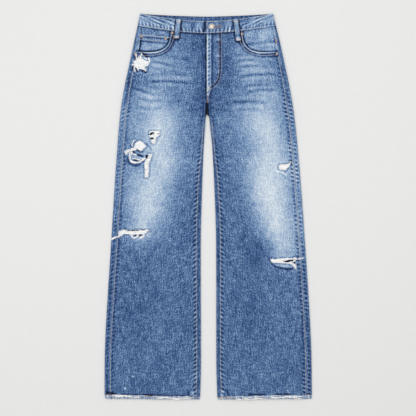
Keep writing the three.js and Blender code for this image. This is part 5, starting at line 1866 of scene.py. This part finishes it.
class JEANS_OT_hems(bpy.types.Operator):
    """Adds the frayed hems"""
    bl_idname = "jeans.hems"
    bl_label = "Frayed hems"

    def execute(self, context):
        for side in SIDE:
            hem_fringe(side)
        return {"FINISHED"}


class JEANS_OT_stitching(bpy.types.Operator):
    """Adds the topstitching, the bar tacks and the buttonhole"""
    bl_idname = "jeans.stitching"
    bl_label = "Stitching"

    def execute(self, context):
        front_stitches()
        band_stitches()
        seat_stitches()
        bar_tacks()
        buttonhole()
        return {"FINISHED"}


class JEANS_OT_metal_trims(bpy.types.Operator):
    """Adds the shank button and the rivets"""
    bl_idname = "jeans.metal_trims"
    bl_label = "Button and rivets"

    def execute(self, context):
        waist_button()
        rivets()
        return {"FINISHED"}


class JEANS_OT_cloth_sizes(bpy.types.Operator):
    """Works out the size every piece of cloth was cut to"""
    bl_idname = "jeans.cloth_sizes"
    bl_label = "Sizes of the cloth"

    def execute(self, context):
        declare_sheets()
        return {"FINISHED"}


BUILD_ORDER = (
    JEANS_OT_stage, JEANS_OT_back_panels, JEANS_OT_front_panels, JEANS_OT_pockets,
    JEANS_OT_waistband, JEANS_OT_belt_loops, JEANS_OT_tears, JEANS_OT_hems, JEANS_OT_stitching,
    JEANS_OT_metal_trims, JEANS_OT_cloth_sizes,
)


class JEANS_PT_build(bpy.types.Panel):
    """Lists the steps that build the jeans, and their sizes and colours"""
    bl_idname = "JEANS_PT_build"
    bl_label = "Ripped jeans"
    bl_space_type = "VIEW_3D"
    bl_region_type = "UI"
    bl_category = "Jeans"

    def draw(self, context):
        for settings in (context.scene.jeans_cloth, context.scene.jeans_colours,
                         context.scene.jeans_stage):
            box = self.layout.box()
            for key in settings.__annotations__:
                box.prop(settings, key)
        for operator in BUILD_ORDER:
            self.layout.operator(operator.bl_idname)


def declare_sheets():
    """Works out each piece of cloth's width and length in metres, the size of what it was cut to without
    its seam allowances, each at least as large as its area needs; nothing more is done with them."""
    for name, (width, length, area) in CUTS.items():
        width, length = max(width, area / length * 1.001), max(length, area / width * 1.001)


CLASSES = (JeansCloth, JeansColours, JeansStage, *BUILD_ORDER, JEANS_PT_build)
SETTINGS = {"jeans_cloth": JeansCloth, "jeans_colours": JeansColours, "jeans_stage": JeansStage}


def register():
    for cls in CLASSES:
        bpy.utils.register_class(cls)
    for name, group in SETTINGS.items():
        setattr(bpy.types.Scene, name, PointerProperty(type=group))


def unregister():
    for name in SETTINGS:
        delattr(bpy.types.Scene, name)
    for cls in reversed(CLASSES):
        bpy.utils.unregister_class(cls)


def plain(box):
    return [[float(value) for value in corner] for corner in box]


def main():
    register()
    for operator in BUILD_ORDER:
        group, name = operator.bl_idname.split(".")
        getattr(getattr(bpy.ops, group), name)()
    {"cad": plain(CAD_BOX), "visual": plain(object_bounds())}


if __name__ == "__main__":
    main()
